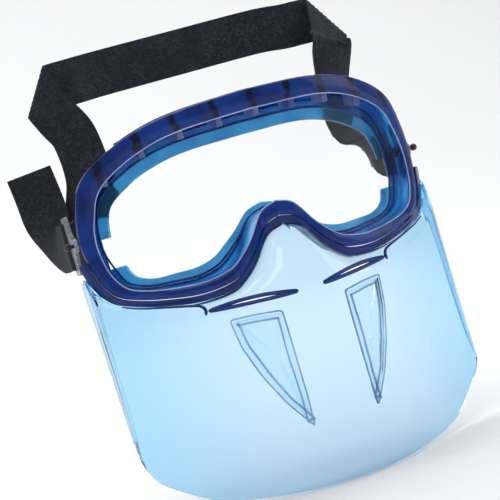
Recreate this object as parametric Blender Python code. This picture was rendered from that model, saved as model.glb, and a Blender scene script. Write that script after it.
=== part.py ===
"""Chemical splash goggle with a clip-on chin shield and an elastic headband.

Frame of reference: metres in Blender, millimetres in the named sizes below.
X runs across the face, -Y is the front, +Z is up.  Z = 0 and the swing axis of the
headband lie on the two side studs.  Y = 0 is the plane of the bezel's widest points.
"""
import math

import bmesh
import bpy
from mathutils import Vector

MM = 0.001

# ---- driving sizes, millimetres -------------------------------------------------------
FIT_GAP = 0.35               # clearance between neighbouring pieces

# goggle frame, seen from the front
HALF_WIDTH = 94.0            # half of the bezel's width
TOP_HEIGHT = 51.5            # bezel top above the studs
LOBE_DROP = 41.0             # lowest point of each cheek lobe below the studs
NOSE_DROP = 13.6             # crown of the nose arch below the studs
FRONT_CURVE = HALF_WIDTH * 124 / 94   # radius of the cylinder that the bezel and lens follow
FRONT_REACH = 43.0           # how far the middle of the bezel stands forward of Y = 0
RIM_DEPTH = 5.0              # front-to-back depth of the bezel rim
WALL_SETBACK = 3.0           # side wall behind the bezel, measured in from the rim
WALL = 2.2                   # side wall thickness
BAND_TOP = 10.0              # bezel band seen from the front, above the lens
BAND_SIDE = 6.2              # bezel band at the temples and lobes
BAND_NOSE = 7.5              # bezel band over the nose
FACE_REACH = 15.0            # face flange stands this far forward at the middle
FACE_CURVE = HALF_WIDTH * 128 / 94    # radius of the face flange
FLANGE = 1.6                 # face flange thickness
FLANGE_FLARE = 2.8           # face flange outer edge, in from the bezel outline
FLANGE_SIDE = 18.0           # face flange seen from the front, at the temples
FLANGE_TOP = 20.5            # the same above the eyes
FLANGE_LOBE = 13.0           # the same under the lobes
FLANGE_NOSE = 8.6            # the same over the nose
OPENING_HALF_WIDTH = HALF_WIDTH - FLANGE_SIDE
OPENING_TOP = TOP_HEIGHT - FLANGE_TOP
OPENING_LOBE = LOBE_DROP - FLANGE_LOBE
OPENING_NOSE = NOSE_DROP - FLANGE_NOSE

# lens and its groove
LENS = 1.8                   # lens thickness
LENS_DEPTH = 2.2             # lens front behind the bezel front
LENS_SEAT = 3.5              # lens edge, in from the bezel outline
GROOVE_SEAT = 2.3            # groove floor, in from the bezel outline

# top vents
VENT_COUNT = 7
VENT_PITCH = 18.0
VENT_WIDTH = 12.0
VENT_LENGTH = 8.0            # slot size front to back
VENT_SETBACK = 12.5          # slot middle behind the bezel front
VENT_COVER = 1.2             # cover thickness
VENT_COVER_LENGTH = 13.0
VENT_RISE = 2.4              # air gap under the cover

# temple notch in the face flange
NOTCH_TOP = -1.0
NOTCH_HEIGHT = 16.0
NOTCH_DEPTH = 5.0

# studs that carry the strap clips
STUD_Y = 7.5
STUD_RADIUS = 1.0
STUD_BALL = 2.0
STUD_TIP = HALF_WIDTH + 7.4   # ball end of the stud, from the middle
STUD_HEAD_RADIUS = 2.6
BOSS_RADIUS = 4.2

# strap clips
CLIP = 1.8
CLIP_TAB_RADIUS = 3.7
CLIP_BODY_START = 12.0
CLIP_REAR_BAR = 2.4
CLIP_BAR = 2.6
CLIP_SLOT = 2.6
CLIP_RAIL = 3.2              # clip material above and below the strap

# headband
STRAP_WIDTH = 25.0
STRAP = 1.5
TAIL_LENGTH = 56.0
BACK_HEIGHT = 87.0           # middle of the back run above the studs

# chin shield
SHIELD = 1.6
SHIELD_REACH = 60.0          # nose ridge of the shield forward of Y = 0
SHIELD_HALF_WIDTH = HALF_WIDTH
SHIELD_DROP = 150.0          # lowest point below the studs
SHIELD_REAR = 14.0           # top of the side panels' rear edge, behind Y = 0
SHIELD_RAKE = 0.17           # how much the rear edge comes forward per unit of drop
RIDGE_RADIUS = 30.0
RIDGE_SLOPE = 0.85
FLANK_END = 0.93             # share of the half width where the flank turns into the side panel
SHOULDER = 9.0               # height over which the top edge rolls out to the flank
NOSE_SHOULDER = 26.0         # extra height of that roll under the nose
NOSE_SPREAD = 17.0
GRIP = 1.4                   # wall of the grip that hugs the bezel
GRIP_DEPTH = 5.4
GRIP_TIP = -9.0              # height of the grip's upturned ends
SLIT_HEIGHT = 3.6
SLIT_INNER = 7.5
SLIT_OUTER = 48.0
SLIT_DROP = 51.8
SLIT_RISE = 2.0              # how much higher the outer end lies

SEGMENTS = 44                # ring pieces along one half of the goggle outline


# ---- general helpers ------------------------------------------------------------------
def make_material(name, colour, roughness, metallic=0.0, alpha=1.0):
    """One Principled material; colour is linear RGB."""
    material = bpy.data.materials.new(name)
    material.use_nodes = True
    shader = material.node_tree.nodes["Principled BSDF"]
    shader.inputs["Base Color"].default_value = (*colour, 1.0)
    shader.inputs["Roughness"].default_value = roughness
    shader.inputs["Metallic"].default_value = metallic
    shader.inputs["Alpha"].default_value = alpha
    return material


def add_object(name, bm, material, smooth_angle=40.0):
    """Turn a bmesh in millimetres into a named object in metres."""
    bmesh.ops.remove_doubles(bm, verts=bm.verts, dist=0.0005)
    bmesh.ops.triangulate(bm, faces=bm.faces)
    bmesh.ops.recalc_face_normals(bm, faces=bm.faces)
    bmesh.ops.scale(bm, vec=(MM, MM, MM), verts=bm.verts)
    mesh = bpy.data.meshes.new(name)
    bm.to_mesh(mesh)
    bm.free()
    mesh.shade_smooth()
    mesh.set_sharp_from_angle(angle=math.radians(smooth_angle))
    obj = bpy.data.objects.new(name, mesh)
    bpy.context.collection.objects.link(obj)
    if material is not None:
        mesh.materials.append(material)
    return obj


def cut(target, cutter, operation="DIFFERENCE"):
    """Exact Boolean with a hidden guide object."""
    cutter.hide_render = True
    cutter.display_type = "WIRE"
    modifier = target.modifiers.new(cutter.name, "BOOLEAN")
    modifier.operation = operation
    modifier.solver = "EXACT"
    modifier.object = cutter


def curve_point(points, t):
    """Catmull-Rom curve through open control points; t runs from 0 to 1."""
    spans = len(points) - 1
    place = min(max(t, 0.0), 1.0) * spans
    index = min(int(place), spans - 1)
    f = place - index
    p1 = Vector(points[index])
    p2 = Vector(points[index + 1])
    p0 = Vector(points[index - 1]) if index else p1 * 2 - p2
    p3 = Vector(points[index + 2]) if index + 2 <= spans else p2 * 2 - p1
    a = (p2 - p0) * 0.5
    b = (p3 - p1) * 0.5
    f2 = f * f
    f3 = f2 * f
    return p1 * (2 * f3 - 3 * f2 + 1) + a * (f3 - 2 * f2 + f) + p2 * (3 * f2 - 2 * f3) + b * (f3 - f2)


def loft(rings, closed_path):
    """Skin a list of equal closed rings; caps the ends of an open path."""
    bm = bmesh.new()
    made = [[bm.verts.new(point) for point in ring] for ring in rings]
    size = len(rings[0])
    last = len(made) if closed_path else len(made) - 1
    for i in range(last):
        here = made[i]
        there = made[(i + 1) % len(made)]
        for j in range(size):
            k = (j + 1) % size
            bm.faces.new((here[j], here[k], there[k], there[j]))
    if not closed_path:
        bm.faces.new(list(reversed(made[0])))
        bm.faces.new(made[-1])
    return bm


def box_bmesh(low, high):
    """Axis-aligned box between two corners."""
    bm = bmesh.new()
    bmesh.ops.create_cube(bm, size=1.0)
    low = Vector(low)
    high = Vector(high)
    bmesh.ops.scale(bm, vec=high - low, verts=bm.verts)
    bmesh.ops.translate(bm, vec=(low + high) / 2, verts=bm.verts)
    return bm


def turned(profile, centre, segments=20):
    """Revolve (x, radius) pairs about the X direction through centre; both ends lie on the axis."""
    bm = bmesh.new()
    rings = []
    for x, radius in profile:
        if radius == 0.0:
            rings.append([bm.verts.new((x, centre[1], centre[2]))])
            continue
        ring = []
        for i in range(segments):
            angle = 2 * math.pi * i / segments
            y = centre[1] + radius * math.cos(angle)
            z = centre[2] + radius * math.sin(angle)
            ring.append(bm.verts.new((x, y, z)))
        rings.append(ring)
    for a, b in zip(rings, rings[1:]):
        for i in range(segments):
            k = (i + 1) % segments
            if len(a) == 1:
                bm.faces.new((a[0], b[i], b[k]))
            elif len(b) == 1:
                bm.faces.new((a[i], b[0], a[k]))
            else:
                bm.faces.new((a[i], b[i], b[k], a[k]))
    return bm


# ---- goggle outlines ------------------------------------------------------------------
def front_y(x):
    """Front of the bezel, a cylinder about a vertical axis."""
    reach = min(abs(x), FRONT_CURVE * 0.97)
    return -FRONT_REACH + FRONT_CURVE - math.sqrt(FRONT_CURVE ** 2 - reach ** 2)


def rear_y(x):
    """Face side of the flange, curved to the head."""
    return -FACE_REACH + x * x / (2 * FACE_CURVE)


def outer_half():
    """Bezel outline from the top middle, round the temple, to the nose crown."""
    w = HALF_WIDTH
    top = TOP_HEIGHT
    drop = LOBE_DROP
    nose = NOSE_DROP
    return [(0, top), (0.40 * w, 0.97 * top), (0.63 * w, 0.887 * top), (0.83 * w, 0.72 * top),
            (0.935 * w, 0.54 * top), (0.985 * w, 0.25 * top), (w, 0.0), (0.988 * w, -0.28 * drop),
            (0.957 * w, -0.55 * drop), (0.90 * w, -0.76 * drop), (0.80 * w, -0.87 * drop),
            (0.66 * w, -0.95 * drop), (0.50 * w, -drop), (0.35 * w, -0.965 * drop),
            (0.27 * w, -0.87 * drop), (0.19 * w, -0.70 * drop), (0.095 * w, -1.25 * nose), (0, -nose)]


def opening_half():
    """Edge of the face opening, point for point beside outer_half."""
    w = OPENING_HALF_WIDTH
    top = OPENING_TOP
    drop = OPENING_LOBE
    nose = OPENING_NOSE
    return [(0, top), (0.41 * w, 0.98 * top), (0.66 * w, 0.86 * top), (0.84 * w, 0.66 * top),
            (0.95 * w, 0.45 * top), (0.99 * w, 0.18 * top), (w, -0.05 * top), (0.993 * w, -0.30 * drop),
            (0.965 * w, -0.54 * drop), (0.92 * w, -0.84 * drop), (0.82 * w, -0.98 * drop),
            (0.67 * w, -drop), (0.53 * w, -drop), (0.41 * w, -0.91 * drop),
            (0.32 * w, -0.74 * drop), (0.225 * w, -0.54 * drop), (0.115 * w, -1.5 * nose), (0, -nose)]


def band_width(t):
    """Bezel band seen from the front, along the half outline."""
    stops = [BAND_TOP] * 3 + [BAND_SIDE * 1.2] + [BAND_SIDE] * 3 + [BAND_SIDE * 1.05] + [BAND_NOSE] * 2
    return curve_point([(stop, 0.0) for stop in stops], t)[0]


class Outline:
    """Half outline of the goggle, sampled evenly; insets run towards the opening."""

    def __init__(self):
        outer = outer_half()
        inner = opening_half()
        fine = 600
        run = [0.0]
        for i in range(fine):
            step = curve_point(outer, (i + 1) / fine) - curve_point(outer, i / fine)
            run.append(run[-1] + step.length)
        self.samples = []
        cursor = 0
        for i in range(SEGMENTS + 1):
            goal = run[-1] * i / SEGMENTS
            while cursor < fine and run[cursor + 1] < goal - 1e-9:
                cursor += 1
            t = (cursor + (goal - run[cursor]) / (run[cursor + 1] - run[cursor])) / fine if i else 0.0
            t = min(t, 1.0)
            self.samples.append((t, curve_point(outer, t), curve_point(inner, t)))

    def inset(self, index, distance):
        """Point of the outline moved in by a distance (negative moves out)."""
        t, edge, opening = self.samples[index]
        return edge + (opening - edge).normalized() * distance


def frame_section(outline, index):
    """Closed section of the goggle frame at one place of the half outline."""
    t, edge, opening = outline.samples[index]
    rim_back = RIM_DEPTH
    lens_back = LENS_DEPTH + LENS + FIT_GAP
    lens_front = LENS_DEPTH - FIT_GAP
    inner_wall = WALL_SETBACK + WALL
    lip = edge.lerp(opening, 0.70)
    lip_width = (lip - edge).length
    reach = (opening - edge).length
    rows = [(0.7, "f", 0.0), (0.0, "f", 0.8), (0.0, "f", rim_back - 0.6), (0.6, "f", rim_back),
            (WALL_SETBACK, "f", rim_back + 1.4), (WALL_SETBACK + 0.4, "r", -4.0),
            (FLANGE_FLARE, "r", -FLANGE), (FLANGE_FLARE, "r", 0.0), (reach, "r", 0.0),
            (reach, "r", -FLANGE), (lip_width, "r", -FLANGE), (lip_width - 0.6, "r", -FLANGE - 1.6),
            (inner_wall + 0.8, "r", -FLANGE - 2.0), (inner_wall, "r", -FLANGE - 3.4),
            (inner_wall, "f", lens_back), (GROOVE_SEAT, "f", lens_back), (GROOVE_SEAT, "f", lens_front),
            (band_width(t), "f", lens_front), (band_width(t), "f", 0.9), (band_width(t) - 0.8, "f", 0.2)]
    points = []
    for distance, side, depth in rows:
        place = outline.inset(index, distance)
        base = front_y(place.x) if side == "f" else rear_y(place.x)
        points.append((place.x, base + depth, place.y))
    return points


def mirrored_rings(rings):
    """Half rings from top to nose, continued round the other side."""
    others = [[(-x, y, z) for x, y, z in ring] for ring in rings[1:-1]]
    return rings + list(reversed(others))


def edge_height(outline, x, inset, upper):
    """Height of the inset outline at x, on its upper or lower side."""
    widest = max(range(SEGMENTS + 1), key=lambda i: outline.inset(i, inset).x)
    run = range(0, widest) if upper else range(widest, SEGMENTS)
    for i in run:
        a = outline.inset(i, inset)
        b = outline.inset(i + 1, inset)
        low = min(a.x, b.x)
        high = max(a.x, b.x)
        if low <= abs(x) <= high and high > low:
            return a.y + (b.y - a.y) * (abs(x) - a.x) / (b.x - a.x)
    return outline.inset(widest, inset).y


# ---- goggle pieces --------------------------------------------------------------------
def build_frame(outline, material):
    """Soft moulded frame: bezel, lens groove, side wall and face flange in one piece."""
    rings = [frame_section(outline, i) for i in range(SEGMENTS + 1)]
    frame = add_object("goggle_frame", loft(mirrored_rings(rings), True), material, 35.0)
    for side in (-1, 1):
        boss = turned([(side * (HALF_WIDTH - 3.6), 0.0), (side * (HALF_WIDTH - 3.6), BOSS_RADIUS),
                       (side * HALF_WIDTH, BOSS_RADIUS - 0.6), (side * HALF_WIDTH, 0.0)], (0, STUD_Y, 0))
        cut(frame, add_object(f"boss_guide_{side}", boss, None), "UNION")
        hole = turned([(side * (HALF_WIDTH - 12), 0.0), (side * (HALF_WIDTH - 12), STUD_RADIUS + 0.3),
                       (side * (HALF_WIDTH + 4), STUD_RADIUS + 0.3), (side * (HALF_WIDTH + 4), 0.0)],
                      (0, STUD_Y, 0))
        cut(frame, add_object(f"stud_hole_guide_{side}", hole, None))
        near = side * (OPENING_HALF_WIDTH - 12)
        far = side * (OPENING_HALF_WIDTH + NOTCH_DEPTH)
        low = (min(near, far), -6.0, NOTCH_TOP - NOTCH_HEIGHT)
        high = (max(near, far), 40.0, NOTCH_TOP)
        cut(frame, add_object(f"notch_guide_{side}", box_bmesh(low, high), None))
    for x in vent_places():
        y = front_y(x) + VENT_SETBACK
        z = edge_height(outline, x, WALL_SETBACK, True)
        low = (x - VENT_WIDTH / 2, y - VENT_LENGTH / 2, z - WALL - 9)
        high = (x + VENT_WIDTH / 2, y + VENT_LENGTH / 2, z + 4)
        cut(frame, add_object(f"vent_guide_{x:.0f}", box_bmesh(low, high), None))
    return frame


def vent_places():
    """Middles of the top vents, left to right."""
    middle = (VENT_COUNT - 1) / 2
    return [(i - middle) * VENT_PITCH for i in range(VENT_COUNT)]


def build_lens(outline, material):
    """Clear curved lens seated in the groove."""
    widest = max(outline.inset(i, LENS_SEAT).x for i in range(SEGMENTS + 1)) - 0.05
    columns = 72
    rings = []
    for i in range(columns + 1):
        x = -widest * math.cos(math.pi * i / columns)
        top = edge_height(outline, x, LENS_SEAT, True)
        low = edge_height(outline, x, LENS_SEAT, False)
        if top - low < 1.0:
            top = low + 1.0
        y = front_y(x) + LENS_DEPTH
        rings.append([(x, y, low), (x, y + LENS, low), (x, y + LENS, top), (x, y, top)])
    return add_object("lens", loft(rings, False), material, 30.0)


def build_vent_cover(outline, material):
    """Baffle strip over the top vents; its feet stand on the wall between the slots."""
    half = VENT_PITCH * VENT_COUNT / 2 + 1.0
    columns = 40
    rings = []
    for i in range(columns + 1):
        x = -half + 2 * half * i / columns
        y = front_y(x) + VENT_SETBACK
        z = edge_height(outline, x, WALL_SETBACK, True) + VENT_RISE
        reach = VENT_COVER_LENGTH / 2
        rings.append([(x, y - reach, z), (x, y + reach, z), (x, y + reach, z + VENT_COVER),
                      (x, y - reach, z + VENT_COVER)])
    cover = add_object("vent_cover", loft(rings, False), material, 30.0)
    middle = VENT_COUNT / 2
    for i in range(VENT_COUNT + 1):
        x = (i - middle) * VENT_PITCH
        y = front_y(x) + VENT_SETBACK
        z = max(edge_height(outline, x + step, WALL_SETBACK, True) for step in (-1, 1))
        low = (x - 0.9, y - VENT_COVER_LENGTH / 2 + 1, z + FIT_GAP)
        high = (x + 0.9, y + VENT_COVER_LENGTH / 2 - 1, z + VENT_RISE + VENT_COVER * 0.5)
        cut(cover, add_object(f"foot_guide_{i}", box_bmesh(low, high), None), "UNION")
    return cover


def build_stud(name, side, material):
    """Black stud: head inside the wall, stem through the boss, ball end outside."""
    head_back = HALF_WIDTH - WALL_SETBACK - WALL - FIT_GAP
    stem_end = STUD_TIP - STUD_BALL
    profile = [(head_back - 1.2, 0.0), (head_back - 1.2, STUD_HEAD_RADIUS), (head_back, STUD_HEAD_RADIUS),
               (head_back, STUD_RADIUS)]
    start = math.pi - math.asin(STUD_RADIUS / STUD_BALL)
    for i in range(9):
        angle = start * (1 - i / 8)
        profile.append((stem_end + STUD_BALL * math.cos(angle), abs(STUD_BALL * math.sin(angle))))
    profile[-1] = (STUD_TIP, 0.0)
    return add_object(name, turned([(side * x, r) for x, r in profile], (0, STUD_Y, 0)), material)


def clip_rear():
    """Rear edge of the clip."""
    return CLIP_BODY_START + 2 * (CLIP_BAR + CLIP_SLOT) + CLIP_REAR_BAR


def clip_slot_rear():
    """Rear side of the clip's rear slot."""
    return clip_rear() - CLIP_REAR_BAR


def build_clip(name, side, material):
    """Flat ladder clip: a round tab on the stud and two slots for the strap."""
    half = STRAP_WIDTH / 2 + CLIP_RAIL
    corner = 2.5
    outline = []
    for i in range(13):
        angle = math.radians(60 + 240 * i / 12)
        outline.append((STUD_Y + CLIP_TAB_RADIUS * math.cos(angle), CLIP_TAB_RADIUS * math.sin(angle)))
    rear = clip_rear()
    outline += [(CLIP_BODY_START - 2.2, -CLIP_TAB_RADIUS - 1.2), (CLIP_BODY_START, -CLIP_TAB_RADIUS - 3.6)]
    front = CLIP_BODY_START + corner
    corners = ((front, -half + corner, 180), (rear - corner, -half + corner, 270),
               (rear - corner, half - corner, 0), (front, half - corner, 90))
    for cy, cz, start in corners:
        for i in range(5):
            angle = math.radians(start + 90 * i / 4)
            outline.append((cy + corner * math.cos(angle), cz + corner * math.sin(angle)))
    outline += [(CLIP_BODY_START, CLIP_TAB_RADIUS + 3.6), (CLIP_BODY_START - 2.2, CLIP_TAB_RADIUS + 1.2)]
    near = side * (HALF_WIDTH + FIT_GAP)
    far = side * (HALF_WIDTH + FIT_GAP + CLIP)
    faces = [[(x, y, z) for y, z in outline] for x in (near, far)]
    clip = add_object(name, loft(faces, False), material)
    hole = turned([(near - side * 2, 0.0), (near - side * 2, STUD_RADIUS + 0.3),
                   (far + side * 2, STUD_RADIUS + 0.3), (far + side * 2, 0.0)], (0, STUD_Y, 0))
    cut(clip, add_object(f"{name}_hole_guide", hole, None))
    slot_half = STRAP_WIDTH / 2 + 0.6
    for slot_rear in (clip_slot_rear(), clip_slot_rear() - CLIP_SLOT - CLIP_BAR):
        low = (min(near, far) - 2, slot_rear - CLIP_SLOT, -slot_half)
        high = (max(near, far) + 2, slot_rear, slot_half)
        cut(clip, add_object(f"{name}_slot_guide_{slot_rear:.0f}", box_bmesh(low, high), None))
    return clip


# ---- headband -------------------------------------------------------------------------
def strap_solid(name, path, material, pieces, width=STRAP_WIDTH):
    """Flat webbing along (point, width direction) stations; thickness lies across both."""
    points = [station[0] for station in path]
    leans = [station[1] for station in path]
    rings = []
    for i in range(pieces + 1):
        t = i / pieces
        here = curve_point(points, t)
        ahead = curve_point(points, min(t + 0.002, 1.0)) - curve_point(points, max(t - 0.002, 0.0))
        across = curve_point(leans, t)
        across = (across - ahead.normalized() * across.dot(ahead.normalized())).normalized() * width / 2
        skin = ahead.cross(across).normalized() * STRAP / 2
        rings.append([here - across - skin, here + across - skin, here + across + skin, here - across + skin])
    return add_object(name, loft(rings, False), material, 30.0)


def build_headband(material):
    """Elastic webbing: back run, two side runs, a loop in each clip, the free tail, the sewn return."""
    skin = HALF_WIDTH + FIT_GAP + CLIP / 2
    layer = (CLIP + STRAP) / 2 + FIT_GAP
    out = skin + layer
    start_y = clip_rear() + 3.4
    up = (0, 0, 1)
    back = BACK_HEIGHT
    low = start_y - 28.2
    w = HALF_WIDTH
    strap_solid("headband_back", [((-0.894 * w, 52, back - 1), up), ((-0.479 * w, 59, back + 0.5), up),
                                  ((0, 62, back + 1), up), ((0.479 * w, 60, back + 1), up),
                                  ((0.915 * w, 53, back), up)], material, 16)
    strap_solid("headband_side_left", [((1.2 - skin, start_y, 0), up),
                                       ((4.75 - skin, low + 33.5, 0), (0.1, 0, 1)),
                                       ((15.25 - skin, low + 41.5, 0.138 * back), (0.7, -0.1, 0.7)),
                                       ((25.25 - skin, low + 45, 0.368 * back), (0.92, -0.05, 0.38)),
                                       ((18.25 - skin, 47, 0.64 * back), (0.92, 0, 0.4)),
                                       ((10.25 - skin, 48.5, 0.84 * back), (0.92, 0, 0.38))], material, 22)
    strap_solid("headband_side_right", [((skin - 1.2, start_y, 0), up),
                                        ((skin - 3.75, low + 44, 0), (-0.15, -0.1, 0.98)),
                                        ((skin - 10.25, low + 58, 0.103 * back), (-0.5, -0.4, 0.75)),
                                        ((skin - 14.75, low + 60, 0.345 * back), (-0.72, -0.66, 0.15)),
                                        ((skin - 12.75, 55, 0.62 * back), (-0.8, -0.6, 0.1)),
                                        ((skin - 8.75, 49.5, 0.85 * back), (-0.96, -0.2, 0.15))], material, 22)
    turn_y = clip_slot_rear() - CLIP_SLOT / 2 - 0.1
    for name, side in (("strap_loop_left", -1), ("strap_loop_right", 1)):
        inner = skin - layer
        stations = ((out, start_y - 0.8), (out, turn_y + 1.6), (out - 0.9, turn_y),
                    (inner + 0.9, turn_y), (inner, turn_y + 1.6), (inner, start_y - 2.2))
        strap_solid(name, [((side * x, y, 0), up) for x, y in stations], material, 20)
    tail = TAIL_LENGTH
    clear = out - 5.5 + 0.3 * STRAP_WIDTH
    strap_solid("strap_tail_left", [((-out - 0.3, start_y, 0), up),
                                    ((0.8 - clear, start_y + 0.14 * tail, 0), (0.05, -0.05, 1)),
                                    ((-clear, start_y + 0.28 * tail, 0.11 * tail), (0.3, -0.35, 0.9)),
                                    ((-clear, start_y + 0.35 * tail, 0.29 * tail), (0.75, -0.3, 0.6)),
                                    ((-clear - 0.8, start_y + 0.36 * tail, 0.54 * tail), (0.9, 0, 0.42)),
                                    ((-clear - 2.2, start_y + 0.36 * tail, 0.79 * tail), (0.91, 0.05, 0.4))],
                material, 16)
    strap_solid("strap_return_right", [((out, start_y - 0.2, 0), up),
                                       ((out, start_y + 10, 0.4), (0, 0.05, 1)),
                                       ((out - 1.2, start_y + 20, 1.0), (-0.1, 0.0, 1))], material, 6)


# ---- chin shield ----------------------------------------------------------------------
def shield_y(x):
    """Front of the shield in plan: a rounded ridge with straight flanks."""
    return -SHIELD_REACH - RIDGE_RADIUS + math.hypot(RIDGE_RADIUS, RIDGE_SLOPE * x)


def plan_half():
    """Plan of the shield from the ridge to the rear edge of the side panel."""
    w = SHIELD_HALF_WIDTH
    shares = (0, 0.09, 0.18, 0.27, 0.36, 0.45, 0.54, 0.63, 0.72, 0.81, FLANK_END)
    flank = [(share * w, shield_y(share * w)) for share in shares]
    rear = SHIELD_REAR
    start = shield_y(FLANK_END * w)
    return flank + [(0.977 * w, start + 0.11 * (rear - start)), (0.994 * w, start + 0.32 * (rear - start)),
                    (0.999 * w, start + 0.64 * (rear - start)), (w, rear)]


def bottom_half():
    """Lower edge of the shield, point for point beside plan_half."""
    rises = (0, 0.05, 0.15, 0.35, 0.8, 1.6, 2.8, 4.4, 7.0, 12.0, 20.5, 28.0, 33.0, 38.0, 44.0)
    return [(rise - SHIELD_DROP, 0.0) for rise in rises]


def side_top(outline, height, clear):
    """Point beside the temple at a height below the studs, clear of the grip."""
    index = next(i for i in range(SEGMENTS + 1) if outline.samples[i][1].y < height)
    below = outline.inset(index, -clear - 1.0)
    above = outline.inset(index - 1, -clear - 1.0)
    place = above.lerp(below, (above.y - height) / (above.y - below.y))
    return Vector((place.x, front_y(place.x) + 1.0, height))


def shield_top(outline, t):
    """Upper edge of the shield's outer skin for a column (t from 0 at the nose to 1 at the rear)."""
    plan = curve_point(plan_half(), t)
    clear = GRIP + 2 * FIT_GAP + SHIELD
    flank = 10 / 14
    if t <= flank:
        x = plan.x
        return Vector((x, front_y(x) + 1.5, edge_height(outline, x, -clear, False)))
    share = (t - flank) / (1 - flank)
    edge = FLANK_END * SHIELD_HALF_WIDTH
    start = Vector((edge, front_y(edge) + 1.5, edge_height(outline, edge, -clear, False)))
    points = [start, side_top(outline, -0.64 * LOBE_DROP, clear), side_top(outline, -0.46 * LOBE_DROP, clear),
              Vector((SHIELD_HALF_WIDTH, 0.5 * SHIELD_REAR, -0.46 * LOBE_DROP)),
              Vector((SHIELD_HALF_WIDTH, SHIELD_REAR, -0.56 * LOBE_DROP))]
    return curve_point(points, share)


def raked_y(y, z):
    """Draw the side panel forward as it goes down, so its rear edge leans."""
    bend = shield_y(FLANK_END * SHIELD_HALF_WIDTH)
    if y <= bend:
        return y
    lean = SHIELD_RAKE * max(0.0, -z - 0.56 * LOBE_DROP)
    return bend + (y - bend) * (SHIELD_REAR - lean - bend) / (SHIELD_REAR - bend)


def shield_point(outline, t, v):
    """Outer skin of one half of the shield; v runs from the top edge to the bottom edge."""
    plan = curve_point(plan_half(), t)
    top = shield_top(outline, t)
    bottom = curve_point(bottom_half(), t).x
    shoulder = SHOULDER + NOSE_SHOULDER * math.exp(-(plan.x / NOSE_SPREAD) ** 2)
    split = 0.3
    if v <= split:
        angle = v / split * math.pi / 2
        forward = math.sin(angle)
        z = top.z - shoulder * (1 - math.cos(angle))
        return Vector((top.x + (plan.x - top.x) * forward, top.y + (raked_y(plan.y, z) - top.y) * forward, z))
    share = (v - split) / (1 - split)
    z = (top.z - shoulder) * (1 - share) + bottom * share
    return Vector((plan.x, raked_y(plan.y, z), z))


def build_shield(outline, material):
    """Thin clear chin shield with two louvre slits."""
    columns = 34
    rows = 24
    bm = bmesh.new()
    grid = []
    for i in range(-columns, columns + 1):
        side = -1 if i < 0 else 1
        line = []
        for j in range(rows + 1):
            p = shield_point(outline, abs(i) / columns, j / rows)
            line.append(bm.verts.new((side * p.x, p.y, p.z)))
        grid.append(line)
    for a, b in zip(grid, grid[1:]):
        for j in range(rows):
            bm.faces.new((a[j], a[j + 1], b[j + 1], b[j]))
    bm.normal_update()
    middle = grid[columns][rows // 2]
    if middle.normal.y > 0:
        bmesh.ops.reverse_faces(bm, faces=bm.faces)
        bm.normal_update()
    outer = list(bm.verts)
    normals = [v.normal.copy() for v in outer]
    inner = {v: bm.verts.new(v.co - n * SHIELD) for v, n in zip(outer, normals)}
    for face in list(bm.faces):
        bm.faces.new([inner[v] for v in reversed(face.verts)])
    rim = [e for e in bm.edges if len(e.link_faces) == 1 and e.verts[0] in inner and e.verts[1] in inner]
    for edge in rim:
        a, b = edge.verts
        bm.faces.new((a, b, inner[b], inner[a]))
    shield = add_object("chin_shield", bm, material, 35.0)
    for side in (-1, 1):
        cut(shield, slit_guide(side))
    return shield


def slit_guide(side):
    """Lens-shaped bar that cuts one louvre slit."""
    rings = []
    for i in range(13):
        share = i / 12
        x = SLIT_INNER + (SLIT_OUTER - SLIT_INNER) * share
        half = 0.25 + (SLIT_HEIGHT / 2 - 0.25) * math.sin(math.pi * share) ** 0.7
        z = -SLIT_DROP + SLIT_RISE * share + 0.8 * math.sin(math.pi * share)
        y = shield_y(x)
        rings.append([(side * x, y - 8, z - half), (side * x, y + 8, z - half),
                      (side * x, y + 8, z + half), (side * x, y - 8, z + half)])
    return add_object(f"slit_guide_{side}", loft(rings, False), None)


def build_grip(outline, material):
    """Grip along the shield's upper edge; it hugs the lower bezel from temple to temple."""
    start = next(i for i in range(SEGMENTS + 1) if outline.samples[i][1].y < GRIP_TIP)
    rings = []
    for i in range(start, SEGMENTS + 1):
        ring = []
        for distance, depth in ((-FIT_GAP, -0.4), (-FIT_GAP - GRIP, 0.4), (-FIT_GAP - GRIP, GRIP_DEPTH - 1.6),
                                (-FIT_GAP, GRIP_DEPTH - 1.0)):
            place = outline.inset(i, distance)
            ring.append((place.x, front_y(place.x) + depth, place.y))
        rings.append(ring)
    others = [[(-x, y, z) for x, y, z in ring] for ring in rings[:-1]]
    return add_object("shield_grip", loft(others + list(reversed(rings)), False), material, 35.0)


def main():
    """Build every piece in order."""
    for obj in list(bpy.data.objects):
        bpy.data.objects.remove(obj, do_unlink=True)
    blue = make_material("frame_blue", (0.0, 0.085, 0.37), 0.25, alpha=0.85)
    clear = make_material("lens_clear", (0.92, 0.95, 0.97), 0.04, alpha=0.25)
    tint = make_material("shield_tint", (0.55, 0.80, 0.93), 0.08, alpha=0.5)
    edge = make_material("grip_blue", (0.01, 0.05, 0.26), 0.2, alpha=0.9)
    grey = make_material("clip_grey", (0.45, 0.47, 0.50), 0.3, alpha=0.8)
    black = make_material("stud_black", (0.01, 0.01, 0.012), 0.4)
    elastic = make_material("elastic", (0.016, 0.018, 0.027), 0.9)
    outline = Outline()
    build_frame(outline, blue)
    build_lens(outline, clear)
    build_vent_cover(outline, blue)
    build_shield(outline, tint)
    build_grip(outline, edge)
    for name, side in (("left", -1), ("right", 1)):
        build_stud(f"stud_{name}", side, black)
        build_clip(f"clip_{name}", side, grey)
    build_headband(elastic)


main()
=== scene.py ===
"""Chemical splash goggle with a clip-on chin shield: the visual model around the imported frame.

Working sizes are millimetres; every finished mesh is scaled to metres. X runs across the
face, -Y is the front and +Z is up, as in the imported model.
"""

import logging
import math
from dataclasses import dataclass, field
from enum import Enum
from typing import Any, Callable, Iterable, Sequence

import bmesh
import bpy
from mathutils import Matrix, Vector

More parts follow.
